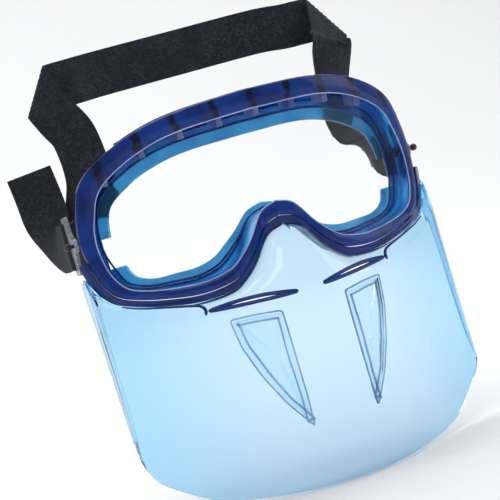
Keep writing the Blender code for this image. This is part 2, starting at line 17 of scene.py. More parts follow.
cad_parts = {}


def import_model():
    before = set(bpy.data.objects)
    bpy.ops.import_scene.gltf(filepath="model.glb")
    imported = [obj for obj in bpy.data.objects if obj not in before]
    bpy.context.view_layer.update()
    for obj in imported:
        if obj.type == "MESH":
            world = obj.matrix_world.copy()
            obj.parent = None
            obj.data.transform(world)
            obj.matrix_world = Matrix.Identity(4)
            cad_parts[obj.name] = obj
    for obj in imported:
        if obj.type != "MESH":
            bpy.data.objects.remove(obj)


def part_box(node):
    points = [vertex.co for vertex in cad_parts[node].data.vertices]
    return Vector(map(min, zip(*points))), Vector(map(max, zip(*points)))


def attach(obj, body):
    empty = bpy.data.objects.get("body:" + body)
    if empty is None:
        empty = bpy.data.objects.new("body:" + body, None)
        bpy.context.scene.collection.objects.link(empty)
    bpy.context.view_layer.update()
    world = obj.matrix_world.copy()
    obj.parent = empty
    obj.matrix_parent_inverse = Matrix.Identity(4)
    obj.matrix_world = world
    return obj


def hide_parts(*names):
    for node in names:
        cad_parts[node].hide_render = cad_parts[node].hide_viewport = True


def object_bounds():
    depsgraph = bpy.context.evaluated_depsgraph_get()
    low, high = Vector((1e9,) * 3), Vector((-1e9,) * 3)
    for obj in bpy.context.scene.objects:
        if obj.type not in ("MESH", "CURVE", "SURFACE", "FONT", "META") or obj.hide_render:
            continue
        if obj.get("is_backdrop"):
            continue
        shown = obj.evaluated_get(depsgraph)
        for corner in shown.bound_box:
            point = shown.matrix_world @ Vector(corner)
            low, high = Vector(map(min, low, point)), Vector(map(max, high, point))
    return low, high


LOG = logging.getLogger("splash_goggle")
MM = 0.001
UP = (0.0, 0.0, 1.0)
Ring = list[Vector]
Colour = tuple[float, float, float]
Material = bpy.types.Material
Object = bpy.types.Object


class Side(Enum):
    """Left and right as seen from the front, with their sign along X."""

    LEFT = -1
    RIGHT = 1


class Zone(Enum):
    """Regions of the moulded frame that take their own finish."""

    BEZEL = 0
    BEVEL = 1
    WALL = 2
    FLANGE = 3
    LIP = 4


# ---- node graphs ----------------------------------------------------------------------
class Value:
    """A number socket that takes part in Python expressions."""

    def __init__(self, graph: "Graph", socket: bpy.types.NodeSocket) -> None:
        """Wrap one output socket of a graph."""
        self.graph = graph
        self.socket = socket

    def _math(self, operation: str, first: Any, second: Any) -> "Value":
        """Add one Math node.

        Args:
            operation: the Math node's operation.
            first: left operand, a Value or a number.
            second: right operand, a Value or a number.

        Returns:
            The node's result.
        """
        node = self.graph.node("ShaderNodeMath", {"operation": operation}, {0: first, 1: second})
        return Value(self.graph, node.outputs[0])

    def __add__(self, other: Any) -> "Value":
        """Sum."""
        return self._math("ADD", self, other)

    __radd__ = __add__

    def __mul__(self, other: Any) -> "Value":
        """Product."""
        return self._math("MULTIPLY", self, other)

    __rmul__ = __mul__

    def sine(self) -> "Value":
        """Sine of the value in radians."""
        return self._math("SINE", self, 0.0)

    def size(self) -> "Value":
        """Absolute value."""
        return self._math("ABSOLUTE", self, 0.0)

    def ramp(self, start: float, end: float) -> "Value":
        """Smooth rise from 0 at start to 1 at end.

        Args:
            start: value where the rise begins.
            end: value where it is complete.

        Returns:
            The eased value.
        """
        node = self.graph.node("ShaderNodeMapRange", {"interpolation_type": "SMOOTHSTEP"},
                               {"Value": self, "From Min": start, "From Max": end})
        return Value(self.graph, node.outputs["Result"])


class Graph:
    """A node tree that nodes are added to by one method."""

    def __init__(self, tree: bpy.types.NodeTree) -> None:
        """Keep the tree that is filled."""
        self.tree = tree

    def node(self, kind: str, settings: dict[str, Any] | None = None,
             inputs: dict[Any, Any] | None = None) -> bpy.types.Node:
        """Add a node, set it up, then feed its sockets.

        Args:
            kind: the node's type name.
            settings: node properties; "stops" fills a colour ramp.
            inputs: socket name or index to a number, colour, socket or Value.

        Returns:
            The new node.
        """
        node = self.tree.nodes.new(kind)
        for name, setting in (settings or {}).items():
            if name == "stops":
                elements = node.color_ramp.elements
                while len(elements) < len(setting):
                    elements.new(0.5)
                for element, (place, colour) in zip(elements, setting):
                    element.position = place
                    element.color = (*colour, 1.0)
            else:
                setattr(node, name, setting)
        for name, value in (inputs or {}).items():
            socket = node.inputs[name]
            if isinstance(value, Value):
                self.tree.links.new(value.socket, socket)
            elif isinstance(value, bpy.types.NodeSocket):
                self.tree.links.new(value, socket)
            else:
                socket.default_value = value
        return node

    def noise(self, vector: Any, scale: float, detail: float, distortion: float = 0.0) -> Value:
        """Noise over a vector.

        Args:
            vector: coordinates.
            scale: frequency per coordinate unit.
            detail: octaves.
            distortion: warp of the pattern.

        Returns:
            The noise factor.
        """
        node = self.node("ShaderNodeTexNoise", None,
                         {"Vector": vector, "Scale": scale, "Detail": detail, "Distortion": distortion})
        return Value(self, node.outputs["Fac"])

    def blend(self, factor: Any, first: Any, second: Any) -> bpy.types.NodeSocket:
        """Mix two colours.

        Args:
            factor: 0 for the first, 1 for the second.
            first: colour or socket.
            second: colour or socket.

        Returns:
            The mixed colour socket.
        """
        def rgba(colour: Any) -> Any:
            """Colour with alpha, or the socket itself."""
            return (*colour, 1.0) if isinstance(colour, tuple) else colour
        node = self.node("ShaderNodeMix", {"data_type": "RGBA"},
                         {0: factor, 6: rgba(first), 7: rgba(second)})
        return node.outputs[2]

    def bump(self, height: Value, distance: float, strength: float = 1.0) -> bpy.types.NodeSocket:
        """Bump a surface.

        Args:
            height: height field, 0 to 1.
            distance: metres for a height of 1.
            strength: share of the effect.

        Returns:
            The normal socket.
        """
        node = self.node("ShaderNodeBump", None,
                         {"Height": height, "Distance": distance, "Strength": strength})
        return node.outputs["Normal"]


class Finish(Graph):
    """A material's node tree round one Principled shader."""

    def __init__(self, name: str, plain: dict[str, Any]) -> None:
        """Start the material.

        Args:
            name: the material's name.
            plain: constant socket values of the shader.
        """
        self.material = bpy.data.materials.new(name)
        self.material.use_nodes = True
        super().__init__(self.material.node_tree)
        self.shader = self.tree.nodes["Principled BSDF"]
        for socket, value in plain.items():
            self.shader.inputs[socket].default_value = value

    def place(self) -> bpy.types.NodeSocket:
        """Object coordinates, in metres."""
        return self.node("ShaderNodeTexCoord").outputs["Object"]

    def axis(self, vector: bpy.types.NodeSocket, index: int) -> Value:
        """One coordinate of a vector."""
        return Value(self, self.node("ShaderNodeSeparateXYZ", None, {0: vector}).outputs[index])

    def feed(self, **links: Any) -> Material:
        """Link what varies to the shader.

        Args:
            links: colour, rough and normal, each a socket or a Value.

        Returns:
            The finished material.
        """
        sockets = {"colour": "Base Color", "rough": "Roughness", "normal": "Normal"}
        for name, value in links.items():
            source = value.socket if isinstance(value, Value) else value
            self.tree.links.new(source, self.shader.inputs[sockets[name]])
        return self.material


# ---- finishes -------------------------------------------------------------------------
@dataclass(frozen=True)
class MouldedBlue:
    """Glossy flexible plastic that light partly passes through."""

    name: str
    thin: Colour
    thick: Colour
    through: float
    roughness: float = 0.12
    # pitch of the bands of painted shade; 0 leaves them out
    painted_shade_pitch: float = 0.0
    shadow: Colour = (0.002, 0.008, 0.05)

    def build(self) -> Material:
        """Colour drifts between thin and thick; where a pitch is set, dark bands of painted shade along X on
        the upper part stand in for the ribs seen through the plastic; a fine flow texture breaks the gloss.

        Returns:
            The material.
        """
        finish = Finish(self.name, {"IOR": 1.3, "Transmission Weight": self.through, "Coat Weight": 0.12,
                                    "Coat Roughness": 0.05})
        place = finish.place()
        colour = finish.blend(finish.noise(place, 60.0, 2.0).ramp(0.35, 0.7), self.thin, self.thick)
        # painted shade: bands repeating along X, above about 20 mm, blend towards the shadow colour where the
        # vent ribs are seen through the bezel
        if self.painted_shade_pitch:
            wobble = finish.noise(place, 260.0, 1.0) * 1.6
            painted_shade_wave = (finish.axis(place, 0) * (2 * math.pi / self.painted_shade_pitch) + wobble).sine().ramp(0.78, 0.93)
            colour = finish.blend(painted_shade_wave * finish.axis(place, 2).ramp(0.020, 0.030), colour, self.shadow)
        flow = finish.noise(place, 420.0, 2.0, 0.4)
        return finish.feed(colour=colour, rough=flow * 0.10 + (self.roughness - 0.05),
                           normal=finish.bump(flow, 0.00012))


@dataclass(frozen=True)
class ClearTint:
    """Thin clear polycarbonate, tinted in its mass."""

    name: str
    middle: Colour
    side: Colour
    roughness: float = 0.03
    ior: float = 1.45

    def build(self) -> Material:
        """Tint deepens towards the sides and drifts; faint flow marks in the gloss.

        Returns:
            The material.
        """
        finish = Finish(self.name, {"IOR": self.ior, "Transmission Weight": 1.0})
        place = finish.place()
        across = finish.axis(place, 0).size()
        edge = across.ramp(0.02, 0.10) * 0.8 + finish.noise(place, 14.0, 2.0) * 0.25
        flow = finish.noise(place, 22.0, 1.0)
        return finish.feed(colour=finish.blend(edge, self.middle, self.side),
                           rough=flow * 0.03 + self.roughness, normal=finish.bump(flow, 0.0004, 0.5))


@dataclass(frozen=True)
class HardPlastic:
    """Opaque or milky moulded plastic with a fine grain."""

    name: str
    colour: Colour
    worn: Colour
    roughness: float
    through: float = 0.0

    def build(self) -> Material:
        """Colour rubs lighter in small spots; fine grain in the bump.

        Returns:
            The material.
        """
        finish = Finish(self.name, {"IOR": 1.5, "Transmission Weight": self.through})
        place = finish.place()
        rubbed = finish.noise(place, 180.0, 4.0).ramp(0.52, 0.75)
        grain = finish.noise(place, 1500.0, 2.0)
        colour = finish.blend(rubbed, self.colour, self.worn)
        rough = grain * 0.15 + (self.roughness - 0.07)
        return finish.feed(colour=colour, rough=rough, normal=finish.bump(grain, 0.0001, 0.6))


@dataclass(frozen=True)
class KnitElastic:
    """Black knitted elastic, mottled blue-grey, with ribs along the strip and weft rows across it."""

    name: str
    dark: Colour = (0.0040, 0.0050, 0.0072)
    light: Colour = (0.030, 0.036, 0.062)
    shade: Colour = (0.006, 0.007, 0.011)
    rib: float = 0.9 * MM
    row: float = 1.1 * MM
    row_slant: float = 2600.0

    def build(self) -> Material:
        """Reads the strip's own UV map: U across and V along, both in metres.

        Returns:
            The material.
        """
        finish = Finish(self.name, {"Specular IOR Level": 0.35, "Sheen Weight": 0.05})
        flat = finish.node("ShaderNodeUVMap", {"uv_map": "strip"}).outputs[0]
        across = finish.axis(flat, 0)
        along = finish.axis(flat, 1)
        blot = finish.noise(flat, 470.0, 1.0, 1.6).ramp(0.46, 0.58)
        patch = finish.noise(flat, 45.0, 2.0).ramp(0.3, 0.7)
        colour = finish.blend(blot * (patch * 0.6 + 0.25), self.dark, self.light)
        rib = (across * (2 * math.pi / self.rib)).sine() * 0.5 + 0.5
        row = (along * (2 * math.pi / self.row) + across * self.row_slant).sine() * 0.5 + 0.5
        knit = rib * 0.6 + row * 0.4
        fuzz = finish.noise(flat, 3000.0, 2.0)
        return finish.feed(colour=finish.blend(knit * 0.35, colour, self.shade), rough=fuzz * 0.2 + 0.62,
                           normal=finish.bump(knit + fuzz * 0.6, 0.00022))


@dataclass(frozen=True)
class PaleSweep:
    """Matt pale paper for the floor and its rise."""

    name: str = "sweep_paper"
    colour: Colour = (0.90, 0.905, 0.91)

    def build(self) -> Material:
        """Nearly even, with a faint drift so that it isn't one flat value.

        Returns:
            The material.
        """
        finish = Finish(self.name, {"Specular IOR Level": 0.1, "Roughness": 0.95})
        drift = finish.noise(finish.place(), 3.0, 2.0)
        dimmer = tuple(channel * 0.985 for channel in self.colour)
        return finish.feed(colour=finish.blend(drift * 0.3, self.colour, dimmer))


# ---- mesh helpers ---------------------------------------------------------------------
def curve_point(points: Sequence[Sequence[float]], t: float) -> Vector:
    """Catmull-Rom curve through open control points.

    Args:
        points: control points.
        t: place along them, 0 to 1.

    Returns:
        The point.
    """
    spans = len(points) - 1
    place = min(max(t, 0.0), 1.0) * spans
    index = min(int(place), spans - 1)
    f = place - index
    p1 = Vector(points[index])
    p2 = Vector(points[index + 1])
    p0 = Vector(points[index - 1]) if index else p1 * 2 - p2
    p3 = Vector(points[index + 2]) if index + 2 <= spans else p2 * 2 - p1
    a = (p2 - p0) * 0.5
    b = (p3 - p1) * 0.5
    f2 = f * f
    f3 = f2 * f
    return p1 * (2 * f3 - 3 * f2 + 1) + a * (f3 - 2 * f2 + f) + p2 * (3 * f2 - 2 * f3) + b * (f3 - f2)


def skin(rings: Sequence[Sequence[Sequence[float]]], closed_path: bool,
         zones: Sequence[int] | None = None) -> bmesh.types.BMesh:
    """Skin equal closed rings into one closed shell.

    Args:
        rings: the rings, in order.
        closed_path: whether the last ring joins the first; otherwise the ends are capped.
        zones: material index of each face round a ring.

    Returns:
        The shell.
    """
    bm = bmesh.new()
    made = [[bm.verts.new(point) for point in ring] for ring in rings]
    size = len(rings[0])
    last = len(made) if closed_path else len(made) - 1
    for i in range(last):
        here = made[i]
        there = made[(i + 1) % len(made)]
        for j in range(size):
            k = (j + 1) % size
            face = bm.faces.new((here[j], here[k], there[k], there[j]))
            if zones:
                face.material_index = zones[j]
    if not closed_path:
        bm.faces.new(list(reversed(made[0])))
        bm.faces.new(made[-1])
    return bm


def place_mesh(name: str, bm: bmesh.types.BMesh, materials: Iterable[Material]) -> Object:
    """Turn a shell in metres into an object at the origin.

    Args:
        name: the piece's name.
        bm: the shell; it is freed.
        materials: materials, in index order.

    Returns:
        The object.
    """
    mesh = bpy.data.meshes.new(name)
    bm.to_mesh(mesh)
    bm.free()
    for material in materials:
        mesh.materials.append(material)
    obj = bpy.data.objects.new(name, mesh)
    bpy.context.scene.collection.objects.link(obj)
    return obj


def finish_mesh(name: str, bm: bmesh.types.BMesh, materials: Iterable[Material],
                angle: float = 35.0) -> Object:
    """Clean a closed shell in millimetres and turn it into an object in metres.

    Args:
        name: the piece's name.
        bm: the shell; it is freed.
        materials: materials, in index order.
        angle: edges sharper than this stay crisp, in degrees.

    Returns:
        The object.
    """
    bmesh.ops.remove_doubles(bm, verts=bm.verts, dist=0.0004)
    bmesh.ops.recalc_face_normals(bm, faces=bm.faces)
    bmesh.ops.scale(bm, vec=(MM, MM, MM), verts=bm.verts)
    obj = place_mesh(name, bm, materials)
    crisp(obj, angle)
    return obj


def crisp(obj: Object, angle: float) -> None:
    """Shade smooth, with edges sharper than the angle in degrees left crisp."""
    obj.data.shade_smooth()
    obj.data.set_sharp_from_angle(angle=math.radians(angle))


def mirrored(points: Iterable[Vector]) -> Ring:
    """The same points on the other side of the face."""
    return [Vector((-p.x, p.y, p.z)) for p in points]


def on_side(side: Side, point: Vector) -> Vector:
    """A point of the right half, on the side that is asked for."""
    return Vector((side.value * point.x, point.y, point.z))


def hang(piece: Object, body: str, slot: str, *nodes: str) -> None:
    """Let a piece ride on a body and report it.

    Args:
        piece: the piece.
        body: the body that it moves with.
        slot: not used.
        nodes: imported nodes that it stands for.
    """
    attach(piece, body)
    if nodes:
        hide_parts(*nodes)
    LOG.info("%s: %d faces", piece.name, len(piece.data.polygons))


def block(low: Sequence[float], high: Sequence[float]) -> bmesh.types.BMesh:
    """Box between two corners in millimetres.

    Args:
        low: lowest corner.
        high: highest corner.

    Returns:
        The box.
    """
    bm = bmesh.new()
    bmesh.ops.create_cube(bm, size=1.0)
    bmesh.ops.scale(bm, vec=Vector(high) - Vector(low), verts=bm.verts)
    bmesh.ops.translate(bm, vec=(Vector(low) + Vector(high)) / 2, verts=bm.verts)
    return bm


def settle(obj: Object) -> None:
    """Replace an object's mesh by its evaluated one and drop its modifiers.

    Args:
        obj: the object; it keeps its name.
    """
    graph = bpy.context.evaluated_depsgraph_get()
    mesh = bpy.data.meshes.new_from_object(obj.evaluated_get(graph), depsgraph=graph)
    obj.modifiers.clear()
    obj.data = mesh
    mesh.name = obj.name


def carve(obj: Object, cutters: Sequence[Object], angle: float) -> None:
    """Cut shapes out of an object and remove the cutters.

    Args:
        obj: the object that is cut.
        cutters: closed cutters.
        angle: edges sharper than this stay crisp, in degrees.
    """
    for cutter in cutters:
        modifier = obj.modifiers.new(cutter.name, "BOOLEAN")
        modifier.operation = "DIFFERENCE"
        modifier.solver = "EXACT"
        modifier.object = cutter
    settle(obj)
    obj.data.set_sharp_from_angle(angle=math.radians(angle))
    for cutter in cutters:
        bpy.data.objects.remove(cutter, do_unlink=True)


def stand_on_points(name: str, seeds: Object, sizes: dict[str, float],
                    build_copy: Callable[[Graph, dict[str, Any]], dict[str, Any]],
                    material: Material) -> None:
    """Stand a copy on each vertex of an object by geometry nodes, as one plain mesh.

    Args:
        name: the tree's name.
        seeds: object whose vertices are the places; it becomes the result.
        sizes: named inputs of the tree, with their values.
        build_copy: adds the copy's nodes and returns the instancer's Instance and any Rotation.
        material: the copies' finish.
    """
    tree = bpy.data.node_groups.new(name, "GeometryNodeTree")
    tree.interface.new_socket("Geometry", in_out="INPUT", socket_type="NodeSocketGeometry")
    for label, value in sizes.items():
        socket = tree.interface.new_socket(label, in_out="INPUT", socket_type="NodeSocketFloat")
        socket.default_value = value
    tree.interface.new_socket("Geometry", in_out="OUTPUT", socket_type="NodeSocketGeometry")
    graph = Graph(tree)
    entry = graph.node("NodeGroupInput").outputs
    points = graph.node("GeometryNodeMeshToPoints", None, {"Mesh": entry["Geometry"]})
    copies = build_copy(graph, {label: entry[label] for label in sizes})
    stand = graph.node("GeometryNodeInstanceOnPoints", None, {"Points": points.outputs[0], **copies})
    real = graph.node("GeometryNodeRealizeInstances", None, {0: stand.outputs[0]})
    dress = graph.node("GeometryNodeSetMaterial", None, {"Geometry": real.outputs[0], "Material": material})
    graph.node("NodeGroupOutput", None, {0: dress.outputs[0]})
    seeds.modifiers.new(name, "NODES").node_group = tree
    settle(seeds)


def tube(name: str, path: Sequence[Vector], radius: Callable[[float], float], material: Material,
         sides: int = 12, closed: bool = False) -> Object:
    """Round bead along a path, with a radius that may taper.

    Args:
        name: the piece's name.
        path: points along it, in millimetres.
        radius: radius for a share of the length.
        material: its finish.
        sides: faces round it.
        closed: whether the path returns to its start.

    Returns:
        The object.
    """
    rings = []
    count = len(path)
    lift = Vector((0, -1, 0))
    for i, here in enumerate(path):
        ahead = path[(i + 1) % count] if closed or i < count - 1 else here
        behind = path[i - 1] if closed or i else here
        run = (ahead - behind).normalized()
        one = run.cross(lift).normalized()
        two = run.cross(one).normalized()
        r = radius(i / (count - 1))
        turns = [2 * math.pi * k / sides for k in range(sides)]
        rings.append([here + (one * math.cos(turn) + two * math.sin(turn)) * r for turn in turns])
    return finish_mesh(name, skin(rings, closed), [material], 60.0)


# ---- goggle ---------------------------------------------------------------------------
@dataclass
class GoggleShape:
    """Outlines of the goggle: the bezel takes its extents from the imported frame."""

    front_curve: float = 124.0
    face_reach: float = 15.0
    face_curve: float = 128.0
    opening_half: float = 76.0
    opening_top: float = 31.0
    opening_lobe: float = 28.0
    opening_nose: float = 5.0
    nose_share: float = 0.332
    segments: int = 150
    half: float = 0.0
    top: float = 0.0
    drop: float = 0.0
    reach: float = 0.0
    samples: list[tuple[float, Vector, Vector]] = field(default_factory=list)

    def __post_init__(self) -> None:
        """Take the extents from the frame and sample the outline evenly."""
        low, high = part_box("goggle_frame")
        self.half = high.x / MM
        self.top = high.z / MM
        self.drop = -low.z / MM
        self.reach = -low.y / MM
        outer = self.outer_points()
        inner = self.inner_points()
        fine = 1500
        run = [0.0]
        for i in range(fine):
            step = curve_point(outer, (i + 1) / fine) - curve_point(outer, i / fine)
            run.append(run[-1] + step.length)
        cursor = 0
        for i in range(self.segments + 1):
            goal = run[-1] * i / self.segments
            while cursor < fine - 1 and run[cursor + 1] < goal:
                cursor += 1
            t = min((cursor + (goal - run[cursor]) / (run[cursor + 1] - run[cursor])) / fine, 1.0)
            self.samples.append((t, curve_point(outer, t), curve_point(inner, t)))

    def outer_points(self) -> list[tuple[float, float]]:
        """Bezel outline from the top middle, round the temple, to the nose crown.

        Returns:
            Points as (x, z), in millimetres.
        """
        w = self.half
        top = self.top
        drop = self.drop
        nose = self.nose_share * drop
        return [(0, top), (0.40 * w, 0.97 * top), (0.63 * w, 0.887 * top), (0.83 * w, 0.72 * top),
                (0.935 * w, 0.54 * top), (0.985 * w, 0.25 * top), (w, 0.0), (0.988 * w, -0.28 * drop),
                (0.957 * w, -0.55 * drop), (0.90 * w, -0.76 * drop), (0.80 * w, -0.87 * drop),
                (0.66 * w, -0.95 * drop), (0.50 * w, -drop), (0.35 * w, -0.965 * drop),
                (0.27 * w, -0.87 * drop), (0.19 * w, -0.70 * drop), (0.095 * w, -1.25 * nose), (0, -nose)]

    def inner_points(self) -> list[tuple[float, float]]:
        """Edge of the face opening, point for point beside the outline.

        Returns:
            Points as (x, z), in millimetres.
        """
        w = self.opening_half
        top = self.opening_top
        drop = self.opening_lobe
        nose = self.opening_nose
        return [(0, top), (0.41 * w, 0.98 * top), (0.66 * w, 0.86 * top), (0.84 * w, 0.66 * top),
                (0.95 * w, 0.45 * top), (0.99 * w, 0.18 * top), (w, -0.05 * top), (0.993 * w, -0.30 * drop),
                (0.965 * w, -0.54 * drop), (0.92 * w, -0.84 * drop), (0.82 * w, -0.98 * drop),
                (0.67 * w, -drop), (0.53 * w, -drop), (0.41 * w, -0.91 * drop),
                (0.32 * w, -0.74 * drop), (0.225 * w, -0.54 * drop), (0.115 * w, -1.5 * nose), (0, -nose)]

    def front_y(self, x: float) -> float:
        """Front of the bezel at x."""
        reach = min(abs(x), self.front_curve * 0.97)
        return -self.reach + self.front_curve - math.sqrt(self.front_curve ** 2 - reach ** 2)

    def rear_y(self, x: float) -> float:
        """Face side of the flange at x."""
        return -self.face_reach + x * x / (2 * self.face_curve)

    def inset(self, index: int, distance: float) -> Vector:
        """Outline point moved in towards the opening by a distance."""
        _, edge, opening = self.samples[index]
        return edge + (opening - edge).normalized() * distance

    def height(self, x: float, inset: float, upper: bool) -> float:
        """Height of the inset outline at x.

        Args:
            x: place across the face.
            inset: distance in from the outline.
            upper: the top side if true, else the lower side.

        Returns:
            The height in millimetres.
        """
        widest = max(range(self.segments + 1), key=lambda i: self.inset(i, inset).x)
        run = range(0, widest) if upper else range(widest, self.segments)
        for i in run:
            a = self.inset(i, inset)
            b = self.inset(i + 1, inset)
            if min(a.x, b.x) - 0.001 <= abs(x) <= max(a.x, b.x) and a.x != b.x:
                return a.y + (b.y - a.y) * (abs(x) - a.x) / (b.x - a.x)
        return self.inset(widest, inset).y


@dataclass
class GoggleFrame:
    """Soft moulded frame: bezel, side wall, stepped face flange, vents and notches."""

    shape: GoggleShape
    wall_setback: float = 3.0
    wall: float = 2.2
    rim_depth: float = 5.0
    flange: float = 1.6
    flare: float = 2.8
    lens_depth: float = 2.2
    lens: float = 1.8
    gap: float = 0.35
    seat: float = 2.3
    band_top: float = 10.0
    band_side: float = 6.2
    band_nose: float = 7.5
    vent_count: int = 7
    vent_pitch: float = 18.0
    vent_setback: float = 12.5
    vent_size: tuple[float, float] = (12.0, 8.0)
    notch: Colour = (-1.0, 16.0, 5.0)
    lip_share: float = 0.70

    def band(self, t: float) -> float:
        """Width of the bezel band along the half outline.

        Args:
            t: place along the half outline, 0 to 1.

        Returns:
            The width in millimetres.
        """
        stops = [self.band_top] * 3 + [self.band_side * 1.2] + [self.band_side] * 3
        stops += [self.band_side * 1.05, self.band_nose, self.band_nose]
        return curve_point([(stop, 0.0) for stop in stops], t)[0]

    def rows(self, t: float, lip: float, reach: float) -> list[tuple[float, str, float, Zone]]:
        """Corners of the section as (distance in, which face, depth behind it, zone up to the next).

        Args:
            t: place along the half outline.
            lip: distance in of the flange's step.
            reach: distance in of the opening's edge.

        Returns:
            The corners in order.
        """
        band = self.band(t)
        back = self.lens_depth + self.lens + self.gap
        front = self.lens_depth - self.gap
        inner = self.wall_setback + self.wall
        rim = self.rim_depth
        thick = self.flange
        z = Zone
        wall = self.wall_setback
        flare = self.flare
        middle = (lip + inner) / 2
        return [(0.9, "f", 0.0, z.BEZEL), (0.3, "f", 0.25, z.BEZEL), (0.0, "f", 0.9, z.BEZEL),
                (0.0, "f", rim - 0.8, z.BEZEL), (0.2, "f", rim - 0.2, z.BEZEL), (0.7, "f", rim, z.BEZEL),
                (wall - 0.4, "f", rim + 0.6, z.WALL), (wall, "f", rim + 1.6, z.WALL),
                (wall + 0.3, "r", -4.6, z.WALL), (wall - 0.1, "r", -3.0, z.WALL),
                (flare, "r", -thick, z.FLANGE), (flare, "r", -0.3, z.FLANGE),
                (flare + 0.4, "r", 0.0, z.FLANGE), (reach - 0.4, "r", 0.0, z.LIP),
                (reach, "r", -0.4, z.LIP), (reach, "r", -thick + 0.4, z.LIP),
                (reach - 0.4, "r", -thick, z.LIP), (lip + 0.2, "r", -thick, z.LIP),
                (lip - 0.2, "r", -thick - 0.9, z.FLANGE), (lip - 0.9, "r", -thick - 1.3, z.FLANGE),
                (middle + 0.6, "r", -thick - 1.5, z.FLANGE), (middle, "r", -thick - 0.8, z.FLANGE),
                (middle - 0.6, "r", -thick - 1.6, z.FLANGE),
                (inner + 1.2, "r", -thick - 2.0, z.WALL), (inner + 0.3, "r", -thick - 2.6, z.WALL),
                (inner, "r", -thick - 3.6, z.WALL), (inner, "f", back, z.BEVEL),
                (self.seat, "f", back, z.BEVEL), (self.seat, "f", front, z.BEVEL),
                (band - 0.1, "f", front, z.BEVEL), (band, "f", front - 0.3, z.BEVEL),
                (band, "f", 1.1, z.BEVEL), (band - 0.35, "f", 0.5, z.BEZEL), (band - 1.0, "f", 0.1, z.BEZEL)]

    def ring(self, index: int) -> Ring:
        """Section of the frame at one place of the half outline.

        Args:
            index: sample of the half outline.

        Returns:
            The corners, in millimetres.
        """
        t, edge, opening = self.shape.samples[index]
        reach = (opening - edge).length
        lip = (edge.lerp(opening, self.lip_share) - edge).length
        points = []
        for distance, face, depth, _ in self.rows(t, lip, reach):
            place = self.shape.inset(index, distance)
            base = self.shape.front_y(place.x) if face == "f" else self.shape.rear_y(place.x)
            points.append(Vector((place.x, base + depth, place.y)))
        return points

    def cutters(self) -> list[Object]:
        """Cutters for the vents and the temple notches.

        Returns:
            The cutters.
        """
        made = []
        shape = self.shape
        for x in self.vent_places():
            y = shape.front_y(x) + self.vent_setback
            z = shape.height(x, self.wall_setback, True)
            width, length = self.vent_size
            low = (x - width / 2, y - length / 2, z - self.wall - 9)
            high = (x + width / 2, y + length / 2, z + 4)
            made.append(finish_mesh(f"vent_cut_{x:.0f}", block(low, high), []))
        top, height, depth = self.notch
        for side in Side:
            near = side.value * (shape.opening_half - 12)
            far = side.value * (shape.opening_half + depth)
            low = (min(near, far), -6.0, top - height)
            high = (max(near, far), 40.0, top)
            made.append(finish_mesh(f"notch_cut_{side.name}", block(low, high), []))
        return made

    def vent_places(self) -> list[float]:
        """Middles of the top vents, left to right."""
        middle = (self.vent_count - 1) / 2
        return [(i - middle) * self.vent_pitch for i in range(self.vent_count)]

    def build(self, finishes: dict[Zone, Material]) -> None:
        """Make the frame and hang it on the goggle body.

        Args:
            finishes: one material for each zone.
        """
        half = [self.ring(i) for i in range(self.shape.segments + 1)]
        others = [mirrored(ring) for ring in reversed(half[1:-1])]
        zones = [row[3].value for row in self.rows(0.0, 0.0, 0.0)]
        bm = skin(half + others, True, zones)
        frame = finish_mesh("moulded_frame", bm, [finishes[zone] for zone in Zone])
        carve(frame, self.cutters(), 35.0)
        hang(frame, "goggle", "frame_blue", "goggle_frame")

    def build_line(self, name: str, place: Callable[[int], Vector], radius: float,
                   material: Material) -> None:
        """Fine bead round the whole goggle.

        Args:
            name: the piece's name.
            place: where it runs, for each sample of the half outline.
            radius: its radius in millimetres.
            material: its finish.
        """
        half = [place(index) for index in range(self.shape.segments + 1)]
        path = half + mirrored(reversed(half[1:-1]))
        hang(tube(name, path, lambda s: radius, material, 8, True), "goggle", "frame_blue")

    def step_place(self, index: int) -> Vector:
        """Where the flange steps down to the lip of the opening.

        Args:
            index: sample of the half outline.

        Returns:
            The point.
        """
        _, edge, opening = self.shape.samples[index]
        place = self.shape.inset(index, (opening - edge).length * self.lip_share - 0.5)
        return Vector((place.x, self.shape.rear_y(place.x) - self.flange - 1.2, place.y))

    def edge_place(self, index: int) -> Vector:
        """Where the bezel turns in towards the lens."""
        place = self.shape.inset(index, self.band(self.shape.samples[index][0]) - 0.1)
        return Vector((place.x, self.shape.front_y(place.x) + 0.75, place.y))

    def ridge_place(self, index: int) -> Vector:
        """Moulding line half way down the flange.

        Args:
            index: sample of the half outline.

        Returns:
            The point.
        """
        _, edge, opening = self.shape.samples[index]
        inner = self.wall_setback + self.wall
        place = self.shape.inset(index, ((opening - edge).length * self.lip_share + inner) / 2 + 0.3)
        return Vector((place.x, self.shape.rear_y(place.x) - self.flange - 1.7, place.y))


